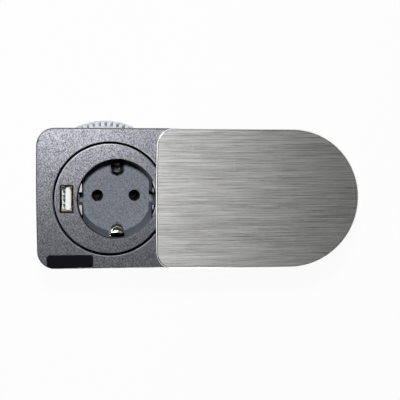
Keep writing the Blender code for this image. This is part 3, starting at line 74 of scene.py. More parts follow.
def newMaterial(name, settings):
    material = bpy.data.materials.new(name)
    material.use_nodes = True
    tree = material.node_tree
    tree.nodes.clear()
    output = tree.nodes.new("ShaderNodeOutputMaterial")
    shader = tree.nodes.new("ShaderNodeBsdfPrincipled")
    tree.links.new(shader.outputs["BSDF"], output.inputs["Surface"])
    for socket, value in settings.items():
        shader.inputs[socket].default_value = value
    material.diffuse_color = (*settings["Base Color"][:3], 1)
    return material, tree, shader


def groupWith(name, inputs, outputs):
    group = bpy.data.node_groups.new(name, "ShaderNodeTree")
    for label, kind, value in inputs:
        socket = group.interface.new_socket(label, in_out="INPUT", socket_type=kind)
        if value is not None:
            socket.default_value = value
    for label, kind in outputs:
        group.interface.new_socket(label, in_out="OUTPUT", socket_type=kind)
    return group, group.nodes.new("NodeGroupInput"), group.nodes.new("NodeGroupOutput")


def placeGroup(tree, group, **values):
    node = tree.nodes.new("ShaderNodeGroup")
    node.node_tree = group
    for key, value in values.items():
        node.inputs[key.replace("_", " ")].default_value = value
    return node


def middle(name):
    low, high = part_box(name)
    return (low + high) / 2


def dress(material, *names):
    for name in names:
        node = nodes[name]
        node.data.materials.clear()
        node.data.materials.append(material)


def meshPiece(name, bm, material, body, smoothAngle=35):
    bmesh.ops.recalc_face_normals(bm, faces=bm.faces)
    for face in bm.faces:
        face.smooth = True
    limit = math.radians(smoothAngle)
    for edge in bm.edges:  # level faces keep their own normal, so that they shade evenly
        level = {abs(face.normal.z) > 0.9999 for face in edge.link_faces}
        edge.smooth = len(edge.link_faces) == 2 and len(level) == 1 and edge.calc_face_angle(0) < limit
    mesh = bpy.data.meshes.new(name)
    bm.to_mesh(mesh)
    bm.free()
    piece = bpy.data.objects.new(name, mesh)
    bpy.context.scene.collection.objects.link(piece)
    mesh.materials.append(material)
    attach(piece, body)
    return piece


def smoothCopy(name, material, body="module", smoothAngle=35):
    bm = bmesh.new()
    bm.from_mesh(nodes[name].data)
    bmesh.ops.remove_doubles(bm, verts=bm.verts, dist=mergeDistance)
    piece = meshPiece(name + "_smooth", bm, material, body, smoothAngle)
    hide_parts(name)
    return piece


# shared surface effects

grainLook = {
    "fineScale": 2.1,  # of the fine speckle, as a multiple of the cells
    "fineShare": 0.35,
    "low": 0.2,
    "high": 0.8,
}

brushLook = {
    "fine": {"Scale": 1.0, "Detail": 4.0, "Roughness": 0.85},
    "fineSpread": {"From_Min": 0.34, "From_Max": 0.66},
    "broad": {"Scale": 0.25, "Detail": 3.0, "Roughness": 0.6},
    "broadSpread": {"From_Min": 0.35, "From_Max": 0.65},
}


def makeGrainGroup(s):
    group, entry, leave = groupWith(
        "mouldedGrain",
        [
            ("Vector", "NodeSocketVector", None),
            ("Scale", "NodeSocketFloat", 1500.0),
            ("Contrast", "NodeSocketFloat", 0.5),
        ],
        [("Mask", "NodeSocketFloat")],
    )
    link = group.links.new
    coarse = addNode(group, "ShaderNodeTexVoronoi", feature="F1")
    fine = addNode(group, "ShaderNodeTexNoise", Detail=1.0, Roughness=0.5)
    finer = addNode(group, "ShaderNodeMath", operation="MULTIPLY")
    finer.inputs[1].default_value = s["fineScale"]
    mix = addNode(group, "ShaderNodeMix", data_type="FLOAT")
    mix.inputs["Factor"].default_value = s["fineShare"]
    spread = addNode(group, "ShaderNodeMapRange", From_Min=s["low"], From_Max=s["high"])
    push = addNode(group, "ShaderNodeMix", data_type="FLOAT")
    push.inputs["A"].default_value = 0.5
    link(entry.outputs["Vector"], coarse.inputs["Vector"])
    link(entry.outputs["Vector"], fine.inputs["Vector"])
    link(entry.outputs["Scale"], coarse.inputs["Scale"])
    link(entry.outputs["Scale"], finer.inputs[0])
    link(finer.outputs[0], fine.inputs["Scale"])
    link(coarse.outputs["Color"], mix.inputs["A"])
    link(fine.outputs["Fac"], mix.inputs["B"])
    link(mix.outputs["Result"], spread.inputs["Value"])
    link(entry.outputs["Contrast"], push.inputs["Factor"])
    link(spread.outputs["Result"], push.inputs["B"])
    link(push.outputs["Result"], leave.inputs["Mask"])
    return group


def makeBrushedGroup(s):  # lines along X: Width and Length are how many go into a metre
    group, entry, leave = groupWith(
        "brushedLines",
        [
            ("Vector", "NodeSocketVector", None),
            ("Width", "NodeSocketFloat", 1100.0),
            ("Length", "NodeSocketFloat", 9.0),
        ],
        [("Fine", "NodeSocketFloat"), ("Broad", "NodeSocketFloat")],
    )
    link = group.links.new
    stretch = addNode(group, "ShaderNodeCombineXYZ")
    lay = addNode(group, "ShaderNodeVectorMath", operation="MULTIPLY")
    link(entry.outputs["Length"], stretch.inputs["X"])
    link(entry.outputs["Width"], stretch.inputs["Y"])
    link(entry.outputs["Width"], stretch.inputs["Z"])
    link(entry.outputs["Vector"], lay.inputs[0])
    link(stretch.outputs["Vector"], lay.inputs[1])
    for label, key in (("Fine", "fine"), ("Broad", "broad")):
        lines = addNode(group, "ShaderNodeTexNoise", **s[key])
        spread = addNode(group, "ShaderNodeMapRange", **s[key + "Spread"])
        link(lay.outputs["Vector"], lines.inputs["Vector"])
        link(lines.outputs["Fac"], spread.inputs["Value"])
        link(spread.outputs["Result"], leave.inputs[label])
    return group


def makeZoneGroup():  # 1 inside a box, 0 outside it
    group, entry, leave = groupWith(
        "zoneMask",
        [
            ("Vector", "NodeSocketVector", None),
            ("Centre", "NodeSocketVector", (0, 0, 0)),
            ("Reach", "NodeSocketVector", (1, 1, 1)),
        ],
        [("Mask", "NodeSocketFloat")],
    )
    link = group.links.new
    shift = addNode(group, "ShaderNodeVectorMath", operation="SUBTRACT")
    fold = addNode(group, "ShaderNodeVectorMath", operation="ABSOLUTE")
    past = addNode(group, "ShaderNodeVectorMath", operation="SUBTRACT")
    split = addNode(group, "ShaderNodeSeparateXYZ")
    most = addNode(group, "ShaderNodeMath", operation="MAXIMUM")
    worst = addNode(group, "ShaderNodeMath", operation="MAXIMUM")
    inside = addNode(group, "ShaderNodeMath", operation="LESS_THAN")
    inside.inputs[1].default_value = 0.0
    link(entry.outputs["Vector"], shift.inputs[0])
    link(entry.outputs["Centre"], shift.inputs[1])
    link(shift.outputs["Vector"], fold.inputs[0])
    link(fold.outputs["Vector"], past.inputs[0])
    link(entry.outputs["Reach"], past.inputs[1])
    link(past.outputs["Vector"], split.inputs["Vector"])
    link(split.outputs["X"], most.inputs[0])
    link(split.outputs["Y"], most.inputs[1])
    link(most.outputs[0], worst.inputs[0])
    link(split.outputs["Z"], worst.inputs[1])
    link(worst.outputs[0], inside.inputs[0])
    link(inside.outputs[0], leave.inputs["Mask"])
    return group


def makeTurnedGroup():  # distance from a vertical axis in X, height in Z
    group, entry, leave = groupWith(
        "turnedPlace",
        [("Vector", "NodeSocketVector", None), ("Axis", "NodeSocketVector", (0, 0, 0))],
        [("Vector", "NodeSocketVector")],
    )
    link = group.links.new
    shift = addNode(group, "ShaderNodeVectorMath", operation="SUBTRACT")
    flat = addNode(group, "ShaderNodeVectorMath", operation="MULTIPLY")
    flat.inputs[1].default_value = (1, 1, 0)
    length = addNode(group, "ShaderNodeVectorMath", operation="LENGTH")
    split = addNode(group, "ShaderNodeSeparateXYZ")
    join = addNode(group, "ShaderNodeCombineXYZ")
    link(entry.outputs["Vector"], shift.inputs[0])
    link(entry.outputs["Axis"], shift.inputs[1])
    link(shift.outputs["Vector"], flat.inputs[0])
    link(flat.outputs["Vector"], length.inputs[0])
    link(shift.outputs["Vector"], split.inputs["Vector"])
    link(length.outputs["Value"], join.inputs["X"])
    link(split.outputs["Z"], join.inputs["Z"])
    link(join.outputs["Vector"], leave.inputs["Vector"])
    return group


grainGroup = makeGrainGroup(grainLook)
brushedGroup = makeBrushedGroup(brushLook)
zoneGroup = makeZoneGroup()
turnedGroup = makeTurnedGroup()
print("shared effects ready")


# materials

roughnessSwing = 0.04  # the gloss of the grain's dots and gaps, either way


def mixColour(tree, factor, under, colour):
    blend = addNode(tree, "ShaderNodeMix", data_type="RGBA")
    tree.links.new(factor, blend.inputs["Factor"])
    tree.links.new(under, blend.inputs["A"])
    blend.inputs["B"].default_value = (*colour, 1)
    return blend.outputs["Result"]


def grained(name, dark, light, roughness, scale, depth, contrast=0.7, edge=0.0, **extra):
    material, tree, shader = newMaterial(name, {"Base Color": (*dark, 1), "Roughness": roughness, **extra})
    place = tree.nodes.new("ShaderNodeTexCoord")
    grain = placeGroup(tree, grainGroup, Scale=scale, Contrast=contrast)
    tint = addNode(tree, "ShaderNodeMix", data_type="RGBA")
    tint.inputs["A"].default_value = (*dark, 1)
    tint.inputs["B"].default_value = (*light, 1)
    rough = addNode(tree, "ShaderNodeMapRange")
    rough.inputs["To Min"].default_value = roughness + roughnessSwing
    rough.inputs["To Max"].default_value = roughness - roughnessSwing
    bump = addNode(tree, "ShaderNodeBump", Strength=1.0, Distance=depth * mm)
    link = tree.links.new
    link(place.outputs["Object"], grain.inputs["Vector"])
    link(grain.outputs["Mask"], tint.inputs["Factor"])
    link(tint.outputs["Result"], shader.inputs["Base Color"])
    link(grain.outputs["Mask"], rough.inputs["Value"])
    link(rough.outputs["Result"], shader.inputs["Roughness"])
    link(grain.outputs["Mask"], bump.inputs["Height"])
    link(bump.outputs["Normal"], shader.inputs["Normal"])
    if edge:
        rounded = addNode(tree, "ShaderNodeBevel", samples=4, Radius=edge * mm)
        link(rounded.outputs["Normal"], bump.inputs["Normal"])
    return material


def addZone(material, colour, centre, reach, axis=None, share=1.0, finish=None):  # paints one stretch
    tree = material.node_tree
    shader = tree.nodes["Principled BSDF"]
    place = tree.nodes["Texture Coordinate"].outputs["Object"]
    if axis is not None:
        turned = placeGroup(tree, turnedGroup, Axis=axis)
        tree.links.new(place, turned.inputs["Vector"])
        place = turned.outputs["Vector"]
    zone = placeGroup(tree, zoneGroup, Centre=centre, Reach=reach)
    tree.links.new(place, zone.inputs["Vector"])
    part = addNode(tree, "ShaderNodeMath", operation="MULTIPLY")
    part.inputs[1].default_value = share
    tree.links.new(zone.outputs["Mask"], part.inputs[0])
    under = shader.inputs["Base Color"].links[0].from_socket
    tree.links.new(mixColour(tree, part.outputs[0], under, colour), shader.inputs["Base Color"])
    for socket, value in (finish or {}).items():
        change = addNode(tree, "ShaderNodeMix", data_type="FLOAT")
        change.inputs["A"].default_value = shader.inputs[socket].default_value
        change.inputs["B"].default_value = value
        if shader.inputs[socket].links:
            tree.links.new(shader.inputs[socket].links[0].from_socket, change.inputs["A"])
        tree.links.new(zone.outputs["Mask"], change.inputs["Factor"])
        tree.links.new(change.outputs["Result"], shader.inputs[socket])


plastic = {
    "dark": (0.012, 0.012, 0.016),
    "light": (0.3, 0.306, 0.34),
    "roughness": 0.36,
    "metallic": 0.75,
    "grainScale": 2800.0,
    "grainDepth": 0.01,
    "grainContrast": 1.0,
    "edgeRounding": 0.25,
    # painted shade, for shadowed gaps, holes and edges
    "paintedShadeColour": (0.0015, 0.0015, 0.0015),
    # painted highlight, on the groove's edges and on the ledges' tops
    "edgeColour": (0.5, 0.51, 0.55),
}

groove = {  # painted shade in the groove round the insert, with a thin painted highlight along each of its edges
    "width": 1.1 * mm,
    "margin": 0.08 * mm,
    "overhang": 0.3 * mm,  # past the insert's flange
    "middleDrop": 1.75 * mm,
    "halfHeight": 1.77 * mm,
    "highlightHalf": (0.16 * mm, 1, 0.3 * mm),
    "highlightShift": (0.14 * mm, -0.14 * mm, 0),
    "highlightShare": 0.8,
}

well = {  # places are from the socket's middle, drops from its top
    # painted light: a bluish grey with less gloss over the well's walls and floor, for the colour the light
    # gives them
    "colour": (0.14, 0.185, 0.232),
    "share": 0.35,
    "finish": {"Roughness": 0.55, "Metallic": 0.2},
    "radius": 20.1 * mm,
    "depth": 17.5 * mm,
    "startDrop": 0.1 * mm,  # under the ledges
    "sink": 0.15 * mm,  # of the painted stretch, to reach just under the floor
    "ledgeDrop": 1.2 * mm,
    # painted highlights on the ledges' tops, above and below each keyway
    "ledge": (19.0 * mm, 6.6 * mm),
    "ledgeHighlightHalf": (1.9 * mm, 3.3 * mm, 0.25 * mm),
    "ledgeHighlightShare": 0.75,
    # painted shade along the mouth's edge, its ring's axis set off towards the lower left
    "mouthRadius": 19.35 * mm,
    "mouthDrop": 0.6 * mm,
    "mouthHalf": (0.42 * mm, 1, 0.65 * mm),
    "mouthShift": (-0.45 * mm, -0.25 * mm),
    "flatShadeLine": 17.15 * mm,  # painted shade along the edge of each flat
    "flatShadeLineHalf": (0.42 * mm, 10.2 * mm, 0.5 * mm),
    # painted shade in the upper part of each keyway, where its upper wall's shadow falls
    "keyway": (18.0 * mm, 1.85 * mm),
    "keywayHalf": (1.2 * mm, 1.4 * mm, 7.6 * mm),
    # painted shade in the pin holes, from just under the floor down
    "pinHoleDrop": 2.0 * mm,  # under the floor
    "pinHoleHalf": (3.2 * mm, 3.2 * mm, 1.95 * mm),
    # painted shade round and down the port's opening
    "portDrop": 2.0 * mm,
    "portHalfHeight": 2.02 * mm,
    "portMargin": 0.45 * mm,
}


def makePlastic(name, s):
    return grained(
        name,
        s["dark"],
        s["light"],
        s["roughness"],
        s["grainScale"],
        s["grainDepth"],
        s["grainContrast"],
        s["edgeRounding"],
        Metallic=s["metallic"],
    )


def addPaintedShade(material, centre, reach, axis=None):  # painted shade: black, with no gloss of its own
    addZone(material, plastic["paintedShadeColour"], centre, reach, axis, 1.0, {"Metallic": 1.0})


def paintGrooveShadeAndHighlights(material, s):
    low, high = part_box("socket_face")
    half = s["width"] / 2
    radius = (high.x - low.x) / 2 - half + s["overhang"]
    beside = half + s["highlightHalf"][0]
    # painted highlights along the groove's two edges, set off centre so that each shows on one side only
    for edge in (radius - beside, radius + beside):
        place = (edge, 0, high.z)
        addZone(material, plastic["edgeColour"], place, s["highlightHalf"], s["highlightShift"], s["highlightShare"])
    # painted shade in the groove
    reach = (half + s["margin"], 1, s["halfHeight"])
    addPaintedShade(material, (radius, 0, high.z - s["middleDrop"]), reach, (0, 0, 0))


def paintFace(material, s):  # painted light and shade in the well, the pin holes and the port's opening
    across = middle("earth_contact").x
    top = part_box("socket_face")[1].z
    floor = top - s["depth"]
    ledge = top - s["ledgeDrop"]
    height = (ledge + floor) / 2 - s["sink"]
    # painted light: the bluish tone over the well's walls and floor
    reach = (s["radius"], 1, ledge - s["startDrop"] - height)
    addZone(material, s["colour"], (0, 0, height), reach, (across, 0, 0), s["share"], s["finish"])
    # painted highlights on the ledges' tops
    for side in (-1, 1):
        for end in (-1, 1):
            strip = (across + side * s["ledge"][0], end * s["ledge"][1], ledge)
            addZone(material, plastic["edgeColour"], strip, s["ledgeHighlightHalf"], None, s["ledgeHighlightShare"])
    # painted shade along the mouth's edge
    mouth = (s["mouthRadius"], 0, top - s["mouthDrop"])
    addPaintedShade(material, mouth, s["mouthHalf"], (across + s["mouthShift"][0], s["mouthShift"][1], 0))
    # painted shade along each flat's edge and in the upper part of each keyway
    for side in (-1, 1):
        addPaintedShade(material, (across + side * s["flatShadeLine"], 0, ledge), s["flatShadeLineHalf"])
        addPaintedShade(material, (across + side * s["keyway"][0], s["keyway"][1], height), s["keywayHalf"])
    # painted shade in the pin holes
    for pole in ("live_contact", "neutral_contact"):
        addPaintedShade(material, (middle(pole).x, 0, floor - s["pinHoleDrop"]), s["pinHoleHalf"])
    # painted shade round the port's opening
    low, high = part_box("usb_shell")
    margin = s["portMargin"]
    reach = ((high.x - low.x) / 2 + margin, (high.y - low.y) / 2 + margin, s["portHalfHeight"])
    addPaintedShade(material, (middle("usb_shell").x, 0, top - s["portDrop"]), reach)


lid = {
    "dark": (0.13, 0.129, 0.125),
    "light": (0.73, 0.728, 0.721),
    "edgeColour": (0.95, 0.94, 0.92),
    "roughness": 0.62,
    "edgeRoughness": 0.25,
    "edgeTilt": {"From_Min": 0.985, "From_Max": 0.95},  # of the normal, where the polished edge starts
    "anisotropy": 0.65,
    "lineWidth": 6000.0,
    "lineLength": 42.0,
    "lineDepth": 0.004,
    "broadShare": 0.12,
    "scratchScale": (1500.0, 45.0, 45.0),
    "scratchColour": (0.9, 0.9, 0.88),
    "scratchSpread": {"From_Min": 0.71, "From_Max": 0.78, "To_Max": 0.4},
}


def makeLidSteel(s):
    settings = {
        "Base Color": (*s["light"], 1),
        "Roughness": s["roughness"],
        "Metallic": 1.0,
        "Anisotropic": s["anisotropy"],
    }
    material, tree, shader = newMaterial("brushedSteel", settings)
    link = tree.links.new
    place = tree.nodes.new("ShaderNodeTexCoord")
    lines = placeGroup(tree, brushedGroup, Width=s["lineWidth"], Length=s["lineLength"])
    blend = addNode(tree, "ShaderNodeMix", data_type="FLOAT")
    blend.inputs["Factor"].default_value = s["broadShare"]
    tint = addNode(tree, "ShaderNodeMix", data_type="RGBA")
    tint.inputs["A"].default_value = (*s["dark"], 1)
    tint.inputs["B"].default_value = (*s["light"], 1)
    scratchPlace = addNode(tree, "ShaderNodeVectorMath", operation="MULTIPLY")
    scratchPlace.inputs[1].default_value = s["scratchScale"]
    scratchNoise = addNode(tree, "ShaderNodeTexNoise", Scale=1.0, Detail=2.0, Roughness=0.5)
    scratchMask = addNode(tree, "ShaderNodeMapRange", **s["scratchSpread"])
    bump = addNode(tree, "ShaderNodeBump", Strength=1.0, Distance=s["lineDepth"] * mm)
    side = tree.nodes.new("ShaderNodeSeparateXYZ")
    edge = addNode(tree, "ShaderNodeMapRange", **s["edgeTilt"])
    rough = addNode(tree, "ShaderNodeMapRange", To_Min=s["roughness"], To_Max=s["edgeRoughness"])
    across = addNode(tree, "ShaderNodeVectorTransform", vector_type="VECTOR")
    across.convert_from = "OBJECT"
    across.convert_to = "WORLD"
    across.inputs["Vector"].default_value = (0, 1, 0)
    link(place.outputs["Object"], lines.inputs["Vector"])
    link(lines.outputs["Fine"], blend.inputs["A"])
    link(lines.outputs["Broad"], blend.inputs["B"])
    link(blend.outputs["Result"], tint.inputs["Factor"])
    link(place.outputs["Object"], scratchPlace.inputs[0])
    link(scratchPlace.outputs["Vector"], scratchNoise.inputs["Vector"])
    link(scratchNoise.outputs["Fac"], scratchMask.inputs["Value"])
    scratched = mixColour(tree, scratchMask.outputs["Result"], tint.outputs["Result"], s["scratchColour"])
    link(place.outputs["Normal"], side.inputs["Vector"])
    link(side.outputs["Z"], edge.inputs["Value"])
    rimmed = mixColour(tree, edge.outputs["Result"], scratched, s["edgeColour"])
    link(rimmed, shader.inputs["Base Color"])
    link(edge.outputs["Result"], rough.inputs["Value"])
    link(rough.outputs["Result"], shader.inputs["Roughness"])
    link(lines.outputs["Fine"], bump.inputs["Height"])
    link(bump.outputs["Normal"], shader.inputs["Normal"])
    link(across.outputs["Vector"], shader.inputs["Tangent"])
    return material


nut = {
    "dark": (0.56, 0.59, 0.64),
    "light": (0.7, 0.73, 0.78),
    "roughness": 0.35,
    "grainScale": 500.0,
    "grainDepth": 0.02,
    "grainContrast": 0.6,
    "edgeRounding": 0.2,
    "cornerShade": (0.12, 0.13, 0.16),
    "cornerReach": 1.6 * mm,
    "cornerSpread": {"From_Min": 0.75, "From_Max": 0.35},
}


def makeNutPlastic(s):
    look = [s[key] for key in ("dark", "light", "roughness", "grainScale", "grainDepth", "grainContrast")]
    material = grained("ringNutNatural", *look, s["edgeRounding"])
    tree = material.node_tree
    colour = tree.nodes["Principled BSDF"].inputs["Base Color"]
    corner = addNode(tree, "ShaderNodeAmbientOcclusion", samples=8, Distance=s["cornerReach"])
    shade = addNode(tree, "ShaderNodeMapRange", **s["cornerSpread"])
    tree.links.new(corner.outputs["AO"], shade.inputs["Value"])
    shaded = mixColour(tree, shade.outputs["Result"], colour.links[0].from_socket, s["cornerShade"])
    tree.links.new(shaded, colour)
    return material


port = {
    "wall": 0.37 * mm,
    "insideColour": (0.74, 0.66, 0.52),
    "white": (0.84, 0.84, 0.82),
    "bowLow": -1.5 * mm,
}


def paintPort(shell, contact, s):  # bright inside the shell, and only the contacts' bows in colour
    low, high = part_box("usb_shell")
    inside = ((high.x - low.x) / 2 - s["wall"], (high.y - low.y) / 2 - s["wall"], 1)
    addZone(shell, s["insideColour"], (low + high) / 2, inside)
    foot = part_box("usb_contact_1")[0].z
    addZone(contact, s["white"], (0, 0, foot), (1, 1, s["bowLow"] - foot))


finishes = {  # dark and light colour, roughness, grain's scale, grain's depth in mm
    "badgeBlack": ((0.004, 0.004, 0.006), (0.008, 0.008, 0.011), 0.16, 500.0, 0.004),
    "lidUnderside": ((0.012, 0.012, 0.013), (0.022, 0.022, 0.024), 0.5, 1200.0, 0.03),
    "nickelPlate": ((0.72, 0.68, 0.6), (0.84, 0.8, 0.73), 0.14, 900.0, 0.004),
    # painted shade: the live and neutral contacts near black, for the shade in the pin holes
    "pinContactsPaintedShade": ((0.004, 0.003, 0.002), (0.008, 0.006, 0.004), 0.5, 900.0, 0.01),
    "zincedSteel": ((0.5, 0.51, 0.53), (0.64, 0.65, 0.66), 0.3, 1100.0, 0.01),
    # painted shade: the port's shell near black on its rim and outside; paintPort gives its inside a pale
    # metal colour
    "portShellMetalAndShade": ((0.003, 0.003, 0.002), (0.006, 0.005, 0.004), 0.5, 900.0, 0.01),
    "portWhite": ((0.82, 0.83, 0.81), (0.9, 0.9, 0.89), 0.4, 1200.0, 0.01),
    "portContact": ((0.0, 0.2, 0.1), (0.01, 0.3, 0.17), 0.4, 1200.0, 0.01),
    "boardGreen": ((0.015, 0.09, 0.035), (0.03, 0.14, 0.06), 0.4, 700.0, 0.02),
    "carrierMoulding": ((0.03, 0.03, 0.032), (0.05, 0.05, 0.052), 0.6, 900.0, 0.02),
    "bottomCover": ((0.06, 0.06, 0.066), (0.13, 0.13, 0.14), 0.45, 1300.0, 0.04),
    "glideRing": ((0.7, 0.7, 0.66), (0.78, 0.78, 0.74), 0.4, 900.0, 0.01),
    "sleeveBlue": ((0.02, 0.04, 0.13), (0.03, 0.06, 0.17), 0.35, 900.0, 0.01),
    "sleeveBlack": ((0.012, 0.012, 0.013), (0.02, 0.02, 0.022), 0.35, 900.0, 0.01),
    "coilTape": ((0.62, 0.48, 0.08), (0.72, 0.58, 0.12), 0.45, 600.0, 0.02),
    "coreFerrite": ((0.03, 0.03, 0.034), (0.06, 0.06, 0.065), 0.6, 1500.0, 0.03),
    "leadBrown": ((0.11, 0.045, 0.018), (0.14, 0.06, 0.024), 0.45, 800.0, 0.01),
    "leadBlue": ((0.015, 0.07, 0.33), (0.02, 0.1, 0.4), 0.45, 800.0, 0.01),
}

finishExtras = {
    "badgeBlack": {"contrast": 0.3},
    "nickelPlate": {"Metallic": 1.0},
    "pinContactsPaintedShade": {"Metallic": 0.9},
    "zincedSteel": {"Metallic": 1.0},
    "portShellMetalAndShade": {"Metallic": 1.0},
    "bottomCover": {"edge": 0.25},
}

finishOn = {
    "badgeBlack": ["badge_plate"],
    "lidUnderside": ["lid_carrier"],
    "pinContactsPaintedShade": ["live_contact", "neutral_contact"],
    "zincedSteel": [name for name in nodes if "screw" in name] + ["pivot_washer"],
    "portShellMetalAndShade": ["usb_shell"],
    "portWhite": ["usb_tongue"],
    "portContact": ["usb_contact_1", "usb_contact_2", "usb_contact_3", "usb_contact_4"],
    "boardGreen": ["charger_board"],
    "carrierMoulding": ["contact_carrier"],
    "glideRing": ["glide_ring"],
    "sleeveBlue": ["output_capacitor"],
    "sleeveBlack": ["input_capacitor"],
    "coilTape": ["transformer_coil"],
    "coreFerrite": ["transformer_core"],
    "leadBrown": ["live_lead"],
    "leadBlue": ["neutral_lead"],
}

anthracite = makePlastic("anthracitePlastic", plastic)
paintGrooveShadeAndHighlights(anthracite, groove)
facePlastic = makePlastic("facePlastic", plastic)
paintFace(facePlastic, well)
paintGrooveShadeAndHighlights(facePlastic, groove)
lidSteel = makeLidSteel(lid)
nutNatural = makeNutPlastic(nut)
materialOf = {name: grained(name, *look, **finishExtras.get(name, {})) for name, look in finishes.items()}
paintPort(materialOf["portShellMetalAndShade"], materialOf["portContact"], port)
for name, pieces in finishOn.items():
    dress(materialOf[name], *pieces)
print("materials placed")


# turned and rounded pieces, merged so that their faces shade smoothly
smoothCopy("base_housing", anthracite)
smoothCopy("socket_face", facePlastic)
smoothCopy("ring_nut", nutNatural)
smoothCopy("bottom_cover", materialOf["bottomCover"])
smoothCopy("lid_plate", lidSteel, "lid", 50)
print("smooth pieces made")


earth = {  # points are distance from the socket's middle and height
    "halfWidth": 3.2 * mm,
    "thickness": 0.5 * mm,
    "shoulder": (19.9 * mm, 3.15 * mm),
    "knee": 17.8 * mm,
    "crest": (12.8 * mm, -2.8 * mm),
    "tail": 5.0 * mm,
    "tailReturn": 1.2 * mm,
    "flatEnd": 0.16,  # of the arm's length
    "bowEnd": 0.72,
    "narrowing": 0.42,
    "narrowingPower": 7,
    "tailNarrowing": 0.12,
    "sideFall": 1.3 * mm,
    "sideSpread": 0.6,
    "ribHeight": 0.35 * mm,
    "ribHalfWidth": 1.3 * mm,
    "ribLift": 0.5,
    "rows": (24, 36),
    "cutGap": 0.3 * mm,
    "cutLow": -11.0 * mm,
    # painted shade: a black spot on each arm's rib for the hole there
    "holeHalf": (0.45 * mm, 1, 0.7 * mm),
    "holeHeight": -1.3 * mm,
    "holeShadeColour": (0.002, 0.002, 0.002),
    # painted shade on the far arm's sides, beside its rib
    "farShadeFrom": 1.4 * mm,
    "farShadeMargin": 0.1 * mm,
    "farShadeColour": (0.012, 0.011, 0.01),
    "farShadeShare": 0.9,
    # painted shade on the fold under the rim and the arms' flat parts beside it
    "foldOut": 1.2 * mm,
    "foldHalf": (1, 3.6 * mm, 1.2 * mm),
    "foldShadeColour": (0.004, 0.004, 0.004),
}


def bendArm(verts, s, side, across):  # a square sheet becomes a flat, a round knee and a tail
    far, high = s["shoulder"]
    near, low = s["crest"]
    flat, bow = s["flatEnd"], s["bowEnd"]
    for vert in verts:
        u, v = 2 * vert.co.x, vert.co.y + 0.5
        angle = max(0, min(1, (v - flat) / (bow - flat))) * math.pi / 2
        tail = max(0, (v - bow) / (1 - bow))
        reach = s["knee"] - (s["knee"] - near) * math.sin(angle) + s["tailReturn"] * tail**2
        if v < flat:
            reach = far + (s["knee"] - far) * v / flat
        height = high - (high - low) * (1 - math.cos(angle)) - s["tail"] * tail
        fall = s["sideFall"] * u**4 * math.sin(angle)
        rib = s["ribHeight"] * math.cos(min(1, abs(u) * s["halfWidth"] / s["ribHalfWidth"]) * math.pi / 2)
        rib *= math.sin(angle) * (1 - tail)
        narrow = s["narrowing"] * math.sin(angle) ** s["narrowingPower"] + s["tailNarrowing"] * tail
        x = across + u * s["halfWidth"] * (1 - narrow)
        y = side * (reach + s["sideSpread"] * fall - rib)
        vert.co = (x, y, height - fall * (1 - tail) + s["ribLift"] * rib)


def paintEarth(material, s, across):
    half = (s["halfWidth"] - s["farShadeFrom"]) / 2
    for side in (1, -1):  # painted shade beside the far arm's rib, where the rim's shadow falls on its sides
        farShade = (across + side * (s["farShadeFrom"] + half), 0.5, 0)
        addZone(material, s["farShadeColour"], farShade, (half + s["farShadeMargin"], 0.49, 1), None, s["farShadeShare"])
    # painted shade for the hole in each arm's rib
    addZone(material, s["holeShadeColour"], (across, 0, s["holeHeight"]), s["holeHalf"])
    for side in (1, -1):  # painted shade on the fold under the rim and the arms' flat parts beside it, for the slot's shadow
        fold = (across, side * (s["shoulder"][0] + s["foldOut"]), s["shoulder"][1])
        addZone(material, s["foldShadeColour"], fold, s["foldHalf"])


def makeEarthContact(s):  # the strip as it is, with two rounded arms in place of its inner ones
    across = middle("earth_contact").x
    bm = bmesh.new()
    bm.from_mesh(nodes["earth_contact"].data)
    bmesh.ops.remove_doubles(bm, verts=bm.verts, dist=mergeDistance)
    cutAt = s["shoulder"][0] - s["cutGap"]
    arms = [v for v in bm.verts if abs(v.co.y) < cutAt and v.co.z > s["cutLow"]]
    bmesh.ops.delete(bm, geom=arms, context="VERTS")
    bmesh.ops.holes_fill(bm, edges=[e for e in bm.edges if e.is_boundary], sides=0)
    for side in (1, -1):
        sheet = bmesh.ops.create_grid(bm, x_segments=s["rows"][0], y_segments=s["rows"][1], size=0.5)
        faces = list({f for v in sheet["verts"] for f in v.link_faces})
        bendArm(sheet["verts"], s, side, across)
        bmesh.ops.recalc_face_normals(bm, faces=faces)
        if sum(f.normal.z for f in faces) < 0:
            bmesh.ops.reverse_faces(bm, faces=faces)
        bmesh.ops.solidify(bm, geom=faces, thickness=s["thickness"])
    nickel = materialOf["nickelPlate"]
    paintEarth(nickel, s, across)
    piece = meshPiece("earth_contact_arms", bm, nickel, "module", 50)
    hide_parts("earth_contact")


makeEarthContact(earth)
print("earth contact made")


# floor, light and camera
studio = {
    "floorHeight": cadBox[0][2] - 0.0004,
    "floorSize": 4.0,
    "floorColour": (0.8, 0.8, 0.8, 1),
    "floorGlow": 0.95,  # share of plain white where the camera or a reflection sees it
    "overhead": 0.025,
    "overheadFrom": 0.42,
    "horizon": 0.78,
    "horizonTop": 0.12,
    "frontShade": 0.1,  # of the light from straight in front
    "frontFrom": -0.8,
    "frontTo": 0.2,
}

lamps = {  # power, size, place, aim
    "keyLamp": (2.35, 0.045, (-0.028, 0.142, 0.5), (0.03, 0, 0)),
    "sideLamp": (1.2, 0.5, (-0.55, 0.5, 0.36), (0.03, 0, 0)),
    "lowLamp": (1.3, 0.6, (-0.9, 0.0, 0.06), (0.03, 0, 0)),
    "frontLamp": (3.0, 0.13, (0.05, -0.8, -0.008), (0.03, 0, -0.03)),
}

view = {
    "lens": 83.694,
    "place": (-0.019208, 0.047017, 0.467282),
    "right": (0.99050723, 0.00825641, 0.13721244),
    "up": (0.0058938, 0.99472572, -0.10240122),
    "back": (-0.13733421, 0.10223785, 0.98523436),
}


